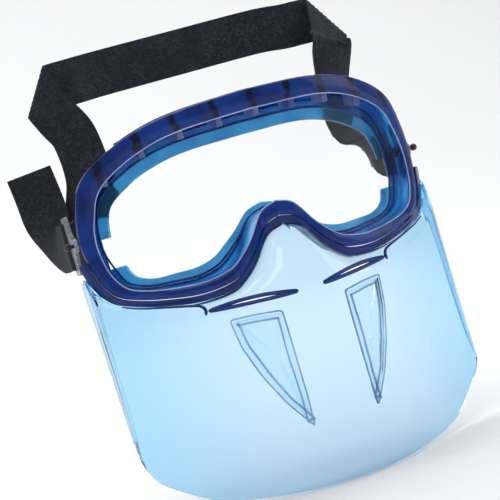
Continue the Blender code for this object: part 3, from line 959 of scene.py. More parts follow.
@dataclass
class VentRibs:
    """Slanted ribs that stand between the vents under the top of the bezel."""

    frame: GoggleFrame
    pitch: float = 20.0
    first: float = -75.0
    count: int = 8
    width: float = 3.0
    depth: float = 17.0
    height: float = 8.0
    lean: float = 9.0

    def rib(self, graph: Graph, sizes: dict[str, Any]) -> dict[str, Any]:
        """One rib, leaning back.

        Args:
            graph: the tree that takes its nodes.
            sizes: the tree's inputs.

        Returns:
            The instancer's inputs.
        """
        size = graph.node("ShaderNodeCombineXYZ", None, {0: sizes["Rib Width"], 1: sizes["Rib Depth"],
                                                         2: sizes["Rib Height"]})
        rib = graph.node("GeometryNodeMeshCube", None, {"Size": size.outputs[0], "Vertices X": 2,
                                                        "Vertices Y": 4, "Vertices Z": 3})
        turn = graph.node("ShaderNodeCombineXYZ", None, {0: sizes["Lean"]})
        return {"Instance": rib.outputs[0], "Rotation": turn.outputs[0]}

    def build(self, material: Material) -> None:
        """Make the row of ribs and hang it on the goggle body.

        Args:
            material: the ribs' finish.
        """
        shape = self.frame.shape
        inner = self.frame.wall_setback + self.frame.wall
        bm = bmesh.new()
        for i in range(self.count):
            x = self.first + i * self.pitch
            z = shape.height(x, inner, True) - self.height * 0.42
            middle = (shape.front_y(x) + self.frame.rim_depth + shape.rear_y(x) - 3.0) / 2
            bm.verts.new((x, middle, z))
        ribs = finish_mesh("vent_ribs", bm, [])
        sizes = {"Rib Width": self.width * MM, "Rib Depth": self.depth * MM, "Rib Height": self.height * MM,
                 "Lean": math.radians(self.lean)}
        stand_on_points("rib_row", ribs, sizes, self.rib, material)
        hang(ribs, "goggle", "frame_blue")


# ---- chin shield ----------------------------------------------------------------------
@dataclass
class ChinShield:
    """Thin clear shield with a rolled top edge, louvre slits and two stepped panels."""

    shape: GoggleShape
    thickness: float = 1.6
    rake: float = 0.17
    ridge_radius: float = 30.0
    ridge_slope: float = 0.85
    flank_end: float = 0.93
    shoulder: float = 9.0
    nose_shoulder: float = 26.0
    nose_spread: float = 17.0
    grip: float = 1.4
    grip_depth: float = 5.4
    grip_tip: float = -9.0
    gap: float = 0.35
    slit: tuple[float, float, float, float, float] = (7.5, 48.0, 51.8, 2.0, 3.6)
    bow: float = 0.8
    panel_top: float = 0.56
    roll_share: float = 0.3
    panel_middle: tuple[float, float] = (24.8, -80.0)
    columns: int = 96
    rows: int = 84
    half: float = 0.0
    reach: float = 0.0
    drop: float = 0.0
    rear: float = 0.0

    def __post_init__(self) -> None:
        """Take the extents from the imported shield."""
        low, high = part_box("chin_shield")
        self.half = high.x / MM
        self.reach = -low.y / MM
        self.drop = -low.z / MM
        self.rear = high.y / MM

    def front(self, x: float) -> float:
        """Front of the shield in plan: a rounded ridge with straight flanks."""
        return -self.reach - self.ridge_radius + math.hypot(self.ridge_radius, self.ridge_slope * x)

    def plan(self) -> list[tuple[float, float]]:
        """Plan from the ridge to the rear edge of the side panel.

        Returns:
            Points as (x, y), in millimetres.
        """
        w = self.half
        shares = (0, 0.09, 0.18, 0.27, 0.36, 0.45, 0.54, 0.63, 0.72, 0.81, self.flank_end)
        start = self.front(self.flank_end * w)
        deep = self.rear - start
        return [(s * w, self.front(s * w)) for s in shares] + [
            (0.977 * w, start + 0.11 * deep), (0.994 * w, start + 0.32 * deep),
            (0.999 * w, start + 0.64 * deep), (w, self.rear)]

    def bottom(self, t: float) -> float:
        """Height of the lower edge for a column."""
        rises = (0, 0.05, 0.15, 0.35, 0.8, 1.6, 2.8, 4.4, 7.0, 12.0, 20.5, 28.0, 33.0, 38.0, 44.0)
        return curve_point([(rise - self.drop, 0.0) for rise in rises], t).x

    def side_top(self, height: float, clear: float) -> Vector:
        """Point beside the temple at a height, clear of the grip.

        Args:
            height: height of the point.
            clear: distance kept from the bezel's outline.

        Returns:
            The point.
        """
        samples = self.shape.samples
        index = next(i for i in range(len(samples)) if samples[i][1].y < height)
        below = self.shape.inset(index, -clear - 1.0)
        above = self.shape.inset(index - 1, -clear - 1.0)
        place = above.lerp(below, (above.y - height) / (above.y - below.y))
        return Vector((place.x, self.shape.front_y(place.x) + 1.0, height))

    def top(self, t: float) -> Vector:
        """Upper edge of the outer skin for a column.

        Args:
            t: column, 0 at the ridge to 1 at the rear edge.

        Returns:
            The point.
        """
        plan = curve_point(self.plan(), t)
        clear = self.grip + 2 * self.gap + self.thickness
        flank = 10 / 14
        lobe = self.shape.drop
        if t <= flank:
            x = plan.x
            return Vector((x, self.shape.front_y(x) + 1.5, self.shape.height(x, -clear, False)))
        edge = self.flank_end * self.half
        start = Vector((edge, self.shape.front_y(edge) + 1.5, self.shape.height(edge, -clear, False)))
        points = [start, self.side_top(-0.64 * lobe, clear), self.side_top(-0.46 * lobe, clear),
                  Vector((self.half, 0.5 * self.rear, -0.46 * lobe)),
                  Vector((self.half, self.rear, -self.panel_top * lobe))]
        return curve_point(points, (t - flank) / (1 - flank))

    def raked(self, y: float, z: float) -> float:
        """Draw the side panel forward as it goes down, so its rear edge leans.

        Args:
            y: depth on the upright panel.
            z: height.

        Returns:
            The depth on the leaning panel.
        """
        bend = self.front(self.flank_end * self.half)
        if y <= bend:
            return y
        lean = self.rake * max(0.0, -z - self.panel_top * self.shape.drop)
        return bend + (y - bend) * (self.rear - lean - bend) / (self.rear - bend)

    def point(self, t: float, v: float) -> Vector:
        """Outer skin; v runs from the top edge to the bottom edge.

        Args:
            t: column, 0 at the ridge to 1 at the rear edge.
            v: place down the column, 0 to 1.

        Returns:
            The point.
        """
        plan = curve_point(self.plan(), t)
        top = self.top(t)
        bottom = self.bottom(t)
        roll = self.shoulder + self.nose_shoulder * math.exp(-(plan.x / self.nose_spread) ** 2)
        split = self.roll_share
        if v <= split:
            angle = v / split * math.pi / 2
            out = math.sin(angle)
            z = top.z - roll * (1 - math.cos(angle))
            return Vector((top.x + (plan.x - top.x) * out, top.y + (self.raked(plan.y, z) - top.y) * out, z))
        share = (v - split) / (1 - split)
        z = (top.z - roll) * (1 - share) + bottom * share
        return Vector((plan.x, self.raked(plan.y, z), z))

    def on_skin(self, x: float, z: float, lift: float) -> Vector:
        """Point on the flank at x and z, lifted off it along the normal.

        Args:
            x: place across the flank.
            z: height.
            lift: distance off the outer face.

        Returns:
            The point.
        """
        y = self.front(x)
        slope = (self.front(x + 0.01) - y) / 0.01
        normal = Vector((slope, -1.0, 0.0)).normalized()
        return Vector((x, y, z)) + normal * lift

    def slit_cutter(self, side: Side) -> Object:
        """Lens-shaped bar that opens one louvre slit.

        Args:
            side: which slit.

        Returns:
            The cutter.
        """
        rings = []
        for i in range(25):
            x, z, swell = self.slit_middle(i / 24)
            half = 0.15 + (self.slit[4] / 2 - 0.15) * swell
            y = self.front(x)
            x *= side.value
            rings.append([(x, y - 8, z - half), (x, y + 8, z - half),
                          (x, y + 8, z + half), (x, y - 8, z + half)])
        return finish_mesh(f"slit_cut_{side.name}", skin(rings, False), [])

    def slit_middle(self, share: float) -> tuple[float, float, float]:
        """Middle of a slit at one place along it, and how far it has swelled open.

        Args:
            share: place along the slit, 0 to 1.

        Returns:
            X, Z and the opening from 0 to 1.
        """
        inner, outer, drop, rise, _ = self.slit
        arch = abs(math.sin(math.pi * share))
        return inner + (outer - inner) * share, -drop + rise * share + self.bow * arch, arch ** 0.7

    def build_skin(self, material: Material) -> Object:
        """The shield's wall, cut by its two slits.

        Args:
            material: its finish.

        Returns:
            The object.
        """
        bm = bmesh.new()
        grid = []
        halves = [[self.point(i / self.columns, j / self.rows) for j in range(self.rows + 1)]
                  for i in range(self.columns + 1)]
        for i in range(-self.columns, self.columns + 1):
            sign = -1 if i < 0 else 1
            grid.append([bm.verts.new((sign * p.x, p.y, p.z)) for p in halves[abs(i)]])
        for a, b in zip(grid, grid[1:]):
            for j in range(self.rows):
                bm.faces.new((a[j], a[j + 1], b[j + 1], b[j]))
        bm.normal_update()
        if grid[self.columns][self.rows // 2].normal.y > 0:
            bmesh.ops.reverse_faces(bm, faces=bm.faces)
            bm.normal_update()
        inner = {v: bm.verts.new(v.co - v.normal * self.thickness) for v in list(bm.verts)}
        for face in list(bm.faces):
            bm.faces.new([inner[v] for v in reversed(face.verts)])
        for edge in [e for e in bm.edges if len(e.link_faces) == 1 and all(v in inner for v in e.verts)]:
            a, b = edge.verts
            bm.faces.new((a, b, inner[b], inner[a]))
        shield = finish_mesh("shield_skin", bm, [material], 40.0)
        carve(shield, [self.slit_cutter(side) for side in Side], 40.0)
        return shield

    def panel_outline(self) -> list[tuple[float, float]]:
        """Corners of one tall panel, rounded, as (x, z).

        Returns:
            Points as (x, z), in millimetres.
        """
        corners = [(16.6, -58.5), (29.0, -57.0), (40.8, -56.6), (38.9, -72.0), (33.9, -88.0), (26.6, -104.0),
                   (17.0, -119.2), (16.4, -104.0), (16.4, -87.0), (16.4, -72.0)]
        points = []
        count = len(corners)
        for i in range(count):
            a = Vector(corners[i - 1])
            b = Vector(corners[i])
            c = Vector(corners[(i + 1) % count])
            reach = min(2.2, (a - b).length / 2.2, (c - b).length / 2.2)
            start = b + (a - b).normalized() * reach
            end = b + (c - b).normalized() * reach
            for k in range(7):
                s = k / 6
                points.append(tuple(start * (1 - s) ** 2 + b * 2 * s * (1 - s) + end * s ** 2))
        return points

    def panel_inset(self, distance: float) -> list[Vector]:
        """The panel's outline moved in by a distance, point for point.

        Args:
            distance: how far in, in millimetres.

        Returns:
            The points.
        """
        outline = [Vector(p) for p in self.panel_outline()]
        count = len(outline)
        centre = Vector(self.panel_middle)
        made = []
        for i, here in enumerate(outline):
            run = outline[(i + 1) % count] - outline[i - 1]
            inward = Vector((run.y, -run.x)).normalized()
            if inward.dot(centre - here) < 0:
                inward = -inward
            room = (centre - here).length * 0.8
            pull = (centre - here).normalized() * min(distance * 0.6, room)
            made.append(here + inward * min(distance, room) * 0.7 + pull * 0.55)
        return made

    def build_panel(self, side: Side, material: Material) -> Object:
        """Stepped triangular panel on one flank: an outer step, a groove and an inner ridge.

        Args:
            side: which flank.
            material: its finish.

        Returns:
            The object.
        """
        outline = [Vector(p) for p in self.panel_outline()]
        count = len(outline)
        centre = Vector(self.panel_middle)
        floor = 0.02
        steps = ((0.0, 0.03), (0.2, 0.75), (0.7, 1.0), (1.6, 1.0), (2.2, 0.55), (2.8, 0.55), (3.3, 0.95),
                 (3.9, 0.95), (4.4, 0.6))
        rings = [(outline, floor)] + [(self.panel_inset(inset), lift) for inset, lift in steps]
        last_inset, face = steps[-1]
        rings += [([q.lerp(centre, share) for q in self.panel_inset(last_inset)], face)
                  for share in (0.35, 0.6, 0.85)]
        bm = bmesh.new()
        made = [[bm.verts.new(on_side(side, self.on_skin(q.x, q.y, lift))) for q in ring]
                for ring, lift in rings]
        hub = bm.verts.new(on_side(side, self.on_skin(centre.x, centre.y, face)))
        base = bm.verts.new(on_side(side, self.on_skin(centre.x, centre.y, floor)))
        for j in range(count):
            k = (j + 1) % count
            for a, b in zip(made, made[1:]):
                bm.faces.new((a[j], a[k], b[k], b[j]))
            bm.faces.new((made[-1][j], made[-1][k], hub))
            bm.faces.new((made[0][k], made[0][j], base))
        return finish_mesh(f"shield_panel_{side.name.lower()}", bm, [material], 25.0)

    def build_outline(self, side: Side, inset: float, lift: float, material: Material) -> Object:
        """Fine bead along a panel's edge.

        Args:
            side: which flank.
            inset: distance in from the panel's outline.
            lift: height of the bead's middle above the flank.
            material: its finish.

        Returns:
            The object.
        """
        path = [on_side(side, self.on_skin(q.x, q.y, lift)) for q in self.panel_inset(inset)]
        return tube(f"panel_edge_{side.name.lower()}_{inset:.0f}", path, lambda s: 0.42, material, 8, True)

    def build_grip(self, material: Material) -> Object:
        """Rounded grip along the upper edge, from one upturned end to the other.

        Args:
            material: its finish.

        Returns:
            The object.
        """
        shape = self.shape
        start = next(i for i in range(shape.segments + 1) if shape.samples[i][1].y < self.grip_tip)
        wide = self.grip
        deep = self.grip_depth
        cover = wide + self.thickness + 1.1
        section = ((0.0, -0.2), (0.4, -0.75), (cover - 0.6, -0.35), (cover, 0.35), (cover - 0.3, 1.6),
                   (wide, 2.4), (wide, deep - 2.0), (wide - 0.3, deep - 1.4), (0.3, deep - 0.9),
                   (0.0, deep - 1.4))
        rings = []
        for i in range(start, shape.segments + 1):
            places = [(shape.inset(i, -self.gap - out), depth) for out, depth in section]
            rings.append([Vector((p.x, shape.front_y(p.x) + depth, p.y)) for p, depth in places])
        others = [mirrored(ring) for ring in rings[:-1]]
        return finish_mesh("grip_edge", skin(others + list(reversed(rings)), False), [material], 40.0)

    def build_bead(self, side: Side, material: Material) -> Object:
        """Raised bead under one lobe that hooks down at its inner end; given the deep blue, it is painted
        shadow for the dark line under the moulded ledge.

        Args:
            side: which lobe.
            material: its finish.

        Returns:
            The object.
        """
        marks = [(50.0, -51.5), (49.6, -48.6), (51.2, -46.3), (55.0, -45.0), (66.0, -42.4), (77.0, -39.6),
                 (84.5, -36.6)]
        route = [curve_point(marks, i / 48) for i in range(49)]
        path = [on_side(side, self.on_skin(p.x, p.y, 0.2)) for p in route]
        return tube(f"shield_bead_{side.name.lower()}", path,
                    lambda s: 0.95 * (1 - 0.62 * s) * min(1.0, 0.35 + 8 * s), material)

    def build_lip(self, side: Side, material: Material) -> Object:
        """Deep blue lip round one louvre slit.

        Args:
            side: which slit.
            material: its finish.

        Returns:
            The object.
        """
        path = []
        count = 64
        for i in range(count):
            turn = 2 * math.pi * i / count
            x, z, swell = self.slit_middle(0.5 - 0.5 * math.cos(turn))
            half = (self.slit[4] / 2 - 0.5) * swell
            path.append(on_side(side, self.on_skin(x, z + (half if turn < math.pi else -half), -0.5)))
        return tube(f"slit_lip_{side.name.lower()}", path, lambda s: 1.0, material, 12, True)

    def build(self, clear: Material, panel: Material, deep: Material,
              line: Material) -> None:
        """Make every piece of the shield and hang it on its body.

        Args:
            clear: finish of the wall.
            panel: finish of the stepped panels; their paler tint is painted reflection of the white
                surroundings.
            deep: finish of the grip, beads and lips; on the beads its deep blue is painted shadow.
            line: finish of the panels' fine edges; on the inner ridge's bead its pale blue is painted
                highlight.
        """
        hang(self.build_skin(clear), "chin_guard", "shield_tint", "chin_shield")
        hang(self.build_grip(deep), "chin_guard", "grip_blue", "shield_grip")
        for side in Side:
            for piece in (self.build_panel(side, panel), self.build_outline(side, 0.3, 0.9, line),
                          # the bead on the inner ridge, 3.6 mm in, is pale as a painted highlight; the outer
                          # bead is the panel's light-blue band
                          self.build_outline(side, 3.6, 0.95, line), self.build_bead(side, deep),
                          self.build_lip(side, deep)):
                hang(piece, "chin_guard", "shield_tint")


# ---- headband -------------------------------------------------------------------------
@dataclass
class Fold:
    """Diagonal fold of a flat strip about a crease."""

    middle: Vector
    arrive: Vector
    leave: Vector
    face: Vector
    open_angle: float = 0.0
    radius: float = 0.95
    run: float = 17.0

    def frame(self) -> tuple[Vector, Vector, Vector]:
        """Unit arriving direction, width direction and in-plane normal of the crease.

        Returns:
            The three unit vectors.
        """
        arrive = self.arrive.normalized()
        across = self.face.cross(arrive).normalized()
        crease = (arrive - self.leave.normalized()).normalized()
        return arrive, across, crease

    def place(self, s: float, u: float) -> Vector:
        """Where a point of the flat strip lies.

        Args:
            s: distance along the strip past the fold's middle.
            u: distance across it.

        Returns:
            The point.
        """
        arrive, across, crease = self.frame()
        flat = arrive * s + across * u
        q = flat.dot(crease)
        if q <= 0:
            return self.middle + flat
        bend = math.pi - self.open_angle
        arc = bend * self.radius
        if q < arc:
            along = self.radius * math.sin(q / self.radius)
            lift = self.radius * (1 - math.cos(q / self.radius))
        else:
            along = self.radius * math.sin(bend) + (q - arc) * math.cos(bend)
            lift = self.radius * (1 - math.cos(bend)) + (q - arc) * math.sin(bend)
        return self.middle + flat - crease * q + crease * along + self.face * lift

    def row(self, s: float, offsets: Sequence[float]) -> Ring:
        """Points across the strip at one place along it."""
        return [self.place(s, u) for u in offsets]

    def end(self, after: bool) -> tuple[Vector, Vector, Vector]:
        """Where the strip enters or leaves the fold.

        Args:
            after: the leaving end if true, else the arriving end.

        Returns:
            Middle, unit width direction, unit run.
        """
        s = self.run if after else -self.run
        row = self.row(s, (-1.0, 0.0, 1.0))
        ahead = self.place(s + 0.5, 0.0) - self.place(s - 0.5, 0.0)
        return row[1], (row[2] - row[0]).normalized(), ahead.normalized()


@dataclass
class Headband:
    """One continuous elastic strip from the free tail, over the head, to the sewn return."""

    width: float = 25.0
    thickness: float = 1.4
    packed_thickness: float = 1.5
    gap: float = 0.35
    tail: float = 56.0
    clip_clear: float = 3.4
    rear_bar: float = 2.4
    clip_slot: float = 2.6
    across: int = 10
    rows: list[Ring] = field(default_factory=list)

    def offsets(self) -> list[float]:
        """Places across the strip."""
        return [(i / self.across - 0.5) * self.width for i in range(self.across + 1)]

    def curve(self, stations: Sequence[tuple[Sequence[float], Sequence[float]]], count: int,
              skip_first: bool = False) -> None:
        """Add rows along (middle, width direction) stations.

        Args:
            stations: control stations.
            count: rows added.
            skip_first: leaves out the first row where it repeats the last one.
        """
        points = [station[0] for station in stations]
        leans = [station[1] for station in stations]
        for i in range(1 if skip_first else 0, count + 1):
            t = i / count
            here = curve_point(points, t)
            ahead = curve_point(points, min(t + 0.002, 1.0))
            run = (ahead - curve_point(points, max(t - 0.002, 0.0))).normalized()
            lean = curve_point(leans, t)
            lean = (lean - run * lean.dot(run)).normalized()
            self.rows.append([here + lean * u for u in self.offsets()])

    def fold(self, fold: Fold, count: int) -> None:
        """Add rows through a fold."""
        for i in range(1, count + 1):
            s = -fold.run + fold.run * 2 * i / count
            self.rows.append(fold.row(s, self.offsets()))

    def build(self, material: Material, thread: Material) -> None:
        """Lay the strip, thicken it and add its stitches.

        Args:
            material: the elastic's finish.
            thread: the sewing thread's finish.
        """
        low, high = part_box("clip_left")
        clip = (abs(low.x) + abs(high.x)) / 2 / MM
        rear = high.y / MM
        start = rear + self.clip_clear
        turn = rear - self.rear_bar - self.clip_slot / 2 - 0.1
        layer = (abs(high.x - low.x) / MM + self.packed_thickness) / 2 + self.gap
        out = clip + layer
        inn = clip - layer
        left = Fold(Vector((-84.6, 47.8, 83.9)), Vector((-0.41, 0.02, 0.912)), Vector((0.999, 0.02, 0.03)),
                    Vector((0.0, 1.0, 0.0)), math.radians(4))
        right = Fold(Vector((86.0, 53.0, 85.6)), Vector((0.999, -0.02, -0.02)), Vector((-0.34, 0.0, -0.94)),
                     Vector((0.0, -1.0, 0.0)), math.radians(34))
        self.lay_tail(out, start, turn)
        self.loop(-out, -inn, turn)
        into, lean_in, _ = left.end(False)
        self.curve([((-inn, turn + 2.0, 0.0), UP), ((-inn, start - 2.2, 0.0), UP),
                    ((-90.5, 33.5, 0.0), (0.1, 0.0, 1.0)), ((-80.0, 41.5, 12.0), (0.7, -0.1, 0.7)),
                    ((-71.5, 45.0, 32.0), (0.92, -0.05, 0.38)),
                    (into - left.arrive.normalized() * 14, lean_in), (into, lean_in)], 70, True)
        self.fold(left, 44)
        out_l, lean_l, run_l = left.end(True)
        in_r, lean_r, run_r = right.end(False)
        self.curve([(out_l, lean_l), (out_l + run_l * 8, lean_l), ((-45, 59, 87.4), UP), ((0, 62, 88), UP),
                    ((45, 60, 88), UP), (in_r - run_r * 8, lean_r), (in_r, lean_r)], 60, True)
        self.fold(right, 44)
        out_r, end_lean, run_out = right.end(True)
        self.curve([(out_r, end_lean), (out_r + run_out * 5, end_lean),
                    ((82.5, 57.0, 44.0), (-0.84, -0.52, 0.1)), ((83.0, 58.5, 27.0), (-0.94, -0.32, 0.12)),
                    ((86.8, 54.0, 9.0), (-0.64, -0.2, 0.74)),
                    ((91.6, 42.0, 1.0), (-0.14, -0.06, 0.99)), ((inn, start - 2.2, 0.0), UP),
                    ((inn, turn + 2.0, 0.0), UP)], 80, True)
        self.loop(inn, out, turn)
        self.curve([((out, turn + 2.0, 0.0), UP), ((out, start, 0.0), UP),
                    ((out, start + 10, 0.4), (0.0, 0.05, 1.0)),
                    ((out - 1.2, start + 20, 1.0), (-0.1, 0.0, 1.0))], 24, True)
        self.solid(material)
        self.stitches(thread, Vector((out + self.packed_thickness / 2, start + 8, 0.4)))

    def lay_tail(self, out: float, start: float, turn: float) -> None:
        """Add the free tail, from its end down to the left clip.

        Args:
            out: distance of the outer layer from the middle plane.
            start: Y where the strip leaves the clip.
            turn: Y of the turn round the clip's rear bar.
        """
        tail = self.tail
        self.curve([((-out - 4.2, start + 0.36 * tail, 0.79 * tail), (0.91, 0.05, 0.4)),
                    ((-out - 2.8, start + 0.36 * tail, 0.54 * tail), (0.9, 0.0, 0.42)),
                    ((-out - 2.0, start + 0.35 * tail, 0.29 * tail), (0.75, -0.3, 0.6)),
                    ((-out - 2.0, start + 0.28 * tail, 0.11 * tail), (0.3, -0.35, 0.9)),
                    ((-out - 1.2, start + 0.14 * tail, 0.0), (0.05, -0.05, 1.0)),
                    ((-out - 0.2, start, 0.0), UP), ((-out, turn + 2.0, 0.0), UP)], 60)

    def loop(self, start: float, end: float, turn: float) -> None:
        """Add the U-turn round a clip's rear bar.

        Args:
            start: X of the arriving layer.
            end: X of the leaving layer.
            turn: Y of the turn's middle.
        """
        radius = abs(start - end) / 2
        middle = (start + end) / 2
        for i in range(1, 17):
            angle = math.pi * i / 17
            x = middle + (start - middle) * math.cos(angle)
            y = turn + 2.0 - min(radius, 1.9) * math.sin(angle) ** 0.8
            self.rows.append([Vector((x, y, u)) for u in self.offsets()])

    def solid(self, material: Material) -> None:
        """Thicken the rows into the strip and hang it on the headband body.

        Args:
            material: its finish.
        """
        bm = bmesh.new()
        flat = bm.loops.layers.uv.new("strip")
        made = [[bm.verts.new(p) for p in row] for row in self.rows]
        middle = self.across // 2
        along = [0.0]
        for a, b in zip(self.rows, self.rows[1:]):
            along.append(along[-1] + (b[middle] - a[middle]).length)
        for i, (a, b) in enumerate(zip(made, made[1:])):
            for j in range(self.across):
                face = bm.faces.new((a[j], a[j + 1], b[j + 1], b[j]))
                spots = ((j, along[i]), (j + 1, along[i]), (j + 1, along[i + 1]), (j, along[i + 1]))
                for corner, (step, length) in zip(face.loops, spots):
                    corner[flat].uv = (step / self.across * self.width * MM, length * MM)
        bmesh.ops.scale(bm, vec=(MM, MM, MM), verts=bm.verts)
        strip = place_mesh("elastic_strip", bm, [material])
        wall = strip.modifiers.new("thickness", "SOLIDIFY")
        wall.thickness = self.thickness * MM
        wall.offset = 0.0
        wall.use_even_offset = False
        settle(strip)
        crisp(strip, 50.0)
        hang(strip, "headband", "elastic", "headband_back", "headband_side_left", "headband_side_right",
             "strap_loop_left", "strap_loop_right", "strap_tail_left", "strap_return_right")
        LOG.info("elastic_strip is %.0f mm long", along[-1])

    def stitch(self, graph: Graph, sizes: dict[str, Any]) -> dict[str, Any]:
        """One upright stitch.

        Args:
            graph: the tree that takes its nodes.
            sizes: the tree's inputs.

        Returns:
            The instancer's inputs.
        """
        stitch = graph.node("GeometryNodeMeshCylinder", None,
                            {"Vertices": 8, "Radius": sizes["Thread Radius"],
                             "Depth": sizes["Stitch Length"]})
        return {"Instance": stitch.outputs[0]}

    def stitches(self, thread: Material, middle: Vector) -> None:
        """Sew the return down with four rows of stitches.

        Args:
            thread: the thread's finish.
            middle: middle of the seam, in millimetres.
        """
        rows = 8
        pitch = 2.8
        bm = bmesh.new()
        for column in (-5.0, -3.0, 3.0, 5.0):
            for i in range(rows):
                bm.verts.new((middle.x, middle.y + column, middle.z + (i - (rows - 1) / 2) * pitch))
        seam = finish_mesh("return_stitches", bm, [])
        sizes = {"Stitch Length": 2.0 * MM, "Thread Radius": 0.22 * MM}
        stand_on_points("stitch_row", seam, sizes, self.stitch, thread)
        hang(seam, "headband", "elastic")


# ---- studio ---------------------------------------------------------------------------
@dataclass
class Studio:
    """Pale sweep, soft lights and the camera."""

    yaw: float = 15.99
    pitch: float = 3.434
    roll: float = 16.299
    distance: float = 0.84696
    focal: float = 115.22
    shift: tuple[float, float] = (-0.0526, 0.0714)
    aim: Colour = (0.0, 0.0, -0.05)

    def sweep(self, floor: float) -> None:
        """Floor that curves up behind the object, as one sheet.

        Args:
            floor: height of the floor.
        """
        start = 1.4
        radius = 1.2
        half_width = 6.0
        profile = [(-5.0, floor), (start, floor)]
        for i in range(1, 17):
            angle = math.pi / 2 * i / 16
            profile.append((start + radius * math.sin(angle), floor + radius * (1 - math.cos(angle))))
        profile.append((start + radius, floor + 5.0))
        bm = bmesh.new()
        rows = [[bm.verts.new((x, y, z)) for x in (-half_width, half_width)] for y, z in profile]
        for a, b in zip(rows, rows[1:]):
            bm.faces.new((a[0], a[1], b[1], b[0])).smooth = True
        place_mesh("sweep", bm, [PaleSweep().build()])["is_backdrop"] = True

    def lamp(self, name: str, place: Sequence[float], size: tuple[float, float], power: float,
             colour: Colour = (1.0, 1.0, 1.0), aim: Sequence[float] | None = None) -> None:
        """Soft box.

        Args:
            name: the lamp's name.
            place: its position.
            size: width and height.
            power: watts.
            colour: its colour.
            aim: what it points at; the object where left out.
        """
        data = bpy.data.lights.new(name, "AREA")
        data.shape = "RECTANGLE"
        data.size, data.size_y = size
        data.energy = power
        data.color = colour
        lamp = bpy.data.objects.new(name, data)
        lamp.location = place
        lamp.rotation_euler = (Vector(aim or self.aim) - Vector(place)).to_track_quat("-Z", "Y").to_euler()
        bpy.context.scene.collection.objects.link(lamp)

    def camera(self) -> None:
        """Camera a little left of the front, rolled about its own axis."""
        yaw, pitch, roll = (math.radians(a) for a in (self.yaw, self.pitch, self.roll))
        forward = Vector((math.sin(yaw) * math.cos(pitch), math.cos(yaw) * math.cos(pitch), -math.sin(pitch)))
        right = Vector((math.cos(yaw), -math.sin(yaw), 0.0))
        up = right.cross(forward)
        side = right * math.cos(roll) - up * math.sin(roll)
        top = right * math.sin(roll) + up * math.cos(roll)
        data = bpy.data.cameras.new("camera")
        data.sensor_width = 36.0
        data.lens = self.focal
        data.shift_x, data.shift_y = self.shift
        data.clip_start = 0.01
        camera = bpy.data.objects.new("camera", data)
        place = Vector(self.aim) - forward * self.distance
        turn = Matrix((side, top, -forward)).transposed().to_4x4()
        camera.matrix_world = Matrix.Translation(place) @ turn
        bpy.context.scene.collection.objects.link(camera)
        bpy.context.scene.camera = camera

    def build(self, floor: float) -> None:
        """Set the stage.

        Args:
            floor: height of the floor.
        """
        self.sweep(floor)
        self.lamp("key", (-0.9, -1.3, 1.4), (1.2, 1.2), 13.0)
        self.lamp("fill", (1.5, -0.6, 0.5), (0.8, 1.6), 7.0, (0.95, 0.98, 1.0))
        self.lamp("back", (0.2, 1.0, 1.6), (2.2, 1.0), 12.0)
        self.lamp("backdrop", (0.0, 0.6, 2.6), (4.0, 1.0), 44.0, aim=(0.0, 2.5, 0.5))
        world = bpy.data.worlds.new("studio")
        world.use_nodes = True
        background = world.node_tree.nodes["Background"]
        background.inputs["Color"].default_value = (1.0, 1.0, 1.0, 1.0)
        background.inputs["Strength"].default_value = 0.40
        bpy.context.scene.world = world
        bpy.context.scene.view_settings.view_transform = "Standard"
        self.camera()


def redress(name: str, material: Material) -> None:
    """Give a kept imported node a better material.

    Args:
        name: the node.
        material: its new finish.
    """
    node = bpy.data.objects[name]
    node.data.materials.clear()
    node.data.materials.append(material)
    LOG.info("%s keeps its packed shape", name)


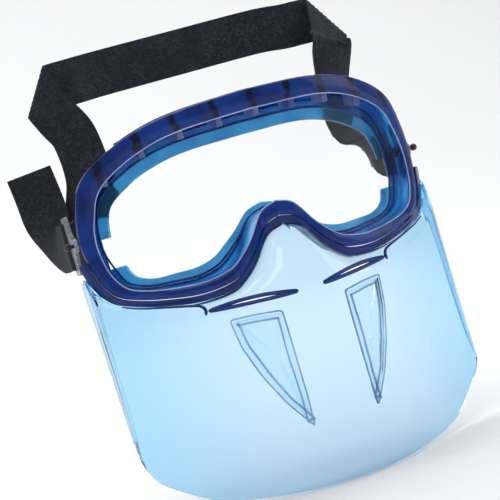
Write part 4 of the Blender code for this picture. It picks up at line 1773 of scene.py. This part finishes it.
def main() -> None:
    """Build every class in order."""
    logging.basicConfig(level=logging.INFO, format="%(name)s: %(message)s")
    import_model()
    packed = [list(corner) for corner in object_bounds()]
    shape = GoggleShape()
    blues = {
        # the bezel's dark bands at a 20 mm pitch are painted shade of the ribs seen through it
        Zone.BEZEL: MouldedBlue("bezel_navy", (0.006, 0.056, 0.34), (0.003, 0.028, 0.20), 0.5,
                                painted_shade_pitch=20.0 * MM),
        Zone.BEVEL: MouldedBlue("bevel_blue", (0.10, 0.22, 0.62), (0.03, 0.10, 0.42), 0.5),
        Zone.WALL: MouldedBlue("wall_blue", (0.07, 0.50, 0.93), (0.012, 0.15, 0.58), 0.85),
        Zone.FLANGE: MouldedBlue("flange_blue", (0.005, 0.12, 0.45), (0.003, 0.06, 0.30), 0.7),
        # the lip's pale cyan is the moulding's own blue, painted much paler as light coming through the thin
        # lip
        Zone.LIP: MouldedBlue("lip_cyan_painted_light", (0.34, 0.88, 1.0), (0.22, 0.74, 0.99), 0.9),
    }
    frame = GoggleFrame(shape)
    frame.build({zone: blue.build() for zone, blue in blues.items()})
    navy = MouldedBlue("step_navy", (0.008, 0.05, 0.30), (0.004, 0.03, 0.20), 0.4).build()
    # painted highlight: the pale lavender bead along the bezel's inner edge stands in for the highlight on
    # the inner bevel
    pale = MouldedBlue("lavender_painted_highlight", (0.62, 0.66, 0.92), (0.36, 0.42, 0.80), 0.3, 0.2).build()
    frame.build_line("flange_step", frame.step_place, 0.55, navy)
    frame.build_line("flange_ridge", frame.ridge_place, 0.45, navy)
    frame.build_line("bezel_edge_highlight", frame.edge_place, 0.32, pale)
    lavender = MouldedBlue("rib_lavender", (0.42, 0.47, 0.80), (0.16, 0.22, 0.60), 0.5, 0.3)
    VentRibs(frame).build(lavender.build())
    redress("lens", ClearTint("lens_clear_glass", (0.985, 0.993, 1.0), (0.97, 0.985, 1.0), 0.0, 1.12).build())
    redress("vent_cover", MouldedBlue("cover_blue", (0.012, 0.09, 0.42), (0.006, 0.05, 0.28), 0.6).build())
    ChinShield(shape).build(
        ClearTint("shield_tint_glass", (0.60, 0.79, 0.94), (0.37, 0.67, 0.91), 0.03, 1.36).build(),
        # the panels' paler tint is the shield's light blue with painted reflection of the white surroundings
        ClearTint("panel_tint_glass", (0.84, 0.94, 0.99), (0.74, 0.90, 0.98)).build(),
        # deep blue of the grip and slit lips, and painted shadow on the beads
        MouldedBlue("grip_deep_blue", (0.010, 0.045, 0.26), (0.006, 0.025, 0.16), 0.4).build(),
        MouldedBlue("panel_line_and_highlight", (0.46, 0.68, 0.90), (0.25, 0.48, 0.78), 0.6, 0.2).build())
    clip = HardPlastic("clip_milky_grey", (0.42, 0.45, 0.50), (0.62, 0.65, 0.70), 0.28, 0.5).build()
    stud = HardPlastic("stud_black", (0.010, 0.010, 0.012), (0.03, 0.03, 0.035), 0.32).build()
    for side in Side:
        redress(f"clip_{side.name.lower()}", clip)
        redress(f"stud_{side.name.lower()}", stud)
    thread = HardPlastic("thread_black", (0.012, 0.013, 0.018), (0.03, 0.033, 0.045), 0.7).build()
    Headband().build(KnitElastic("knit_elastic").build(), thread)
    floor_gap = 0.0004
    Studio().build(packed[0][2] - floor_gap)


if __name__ == "__main__":
    main()
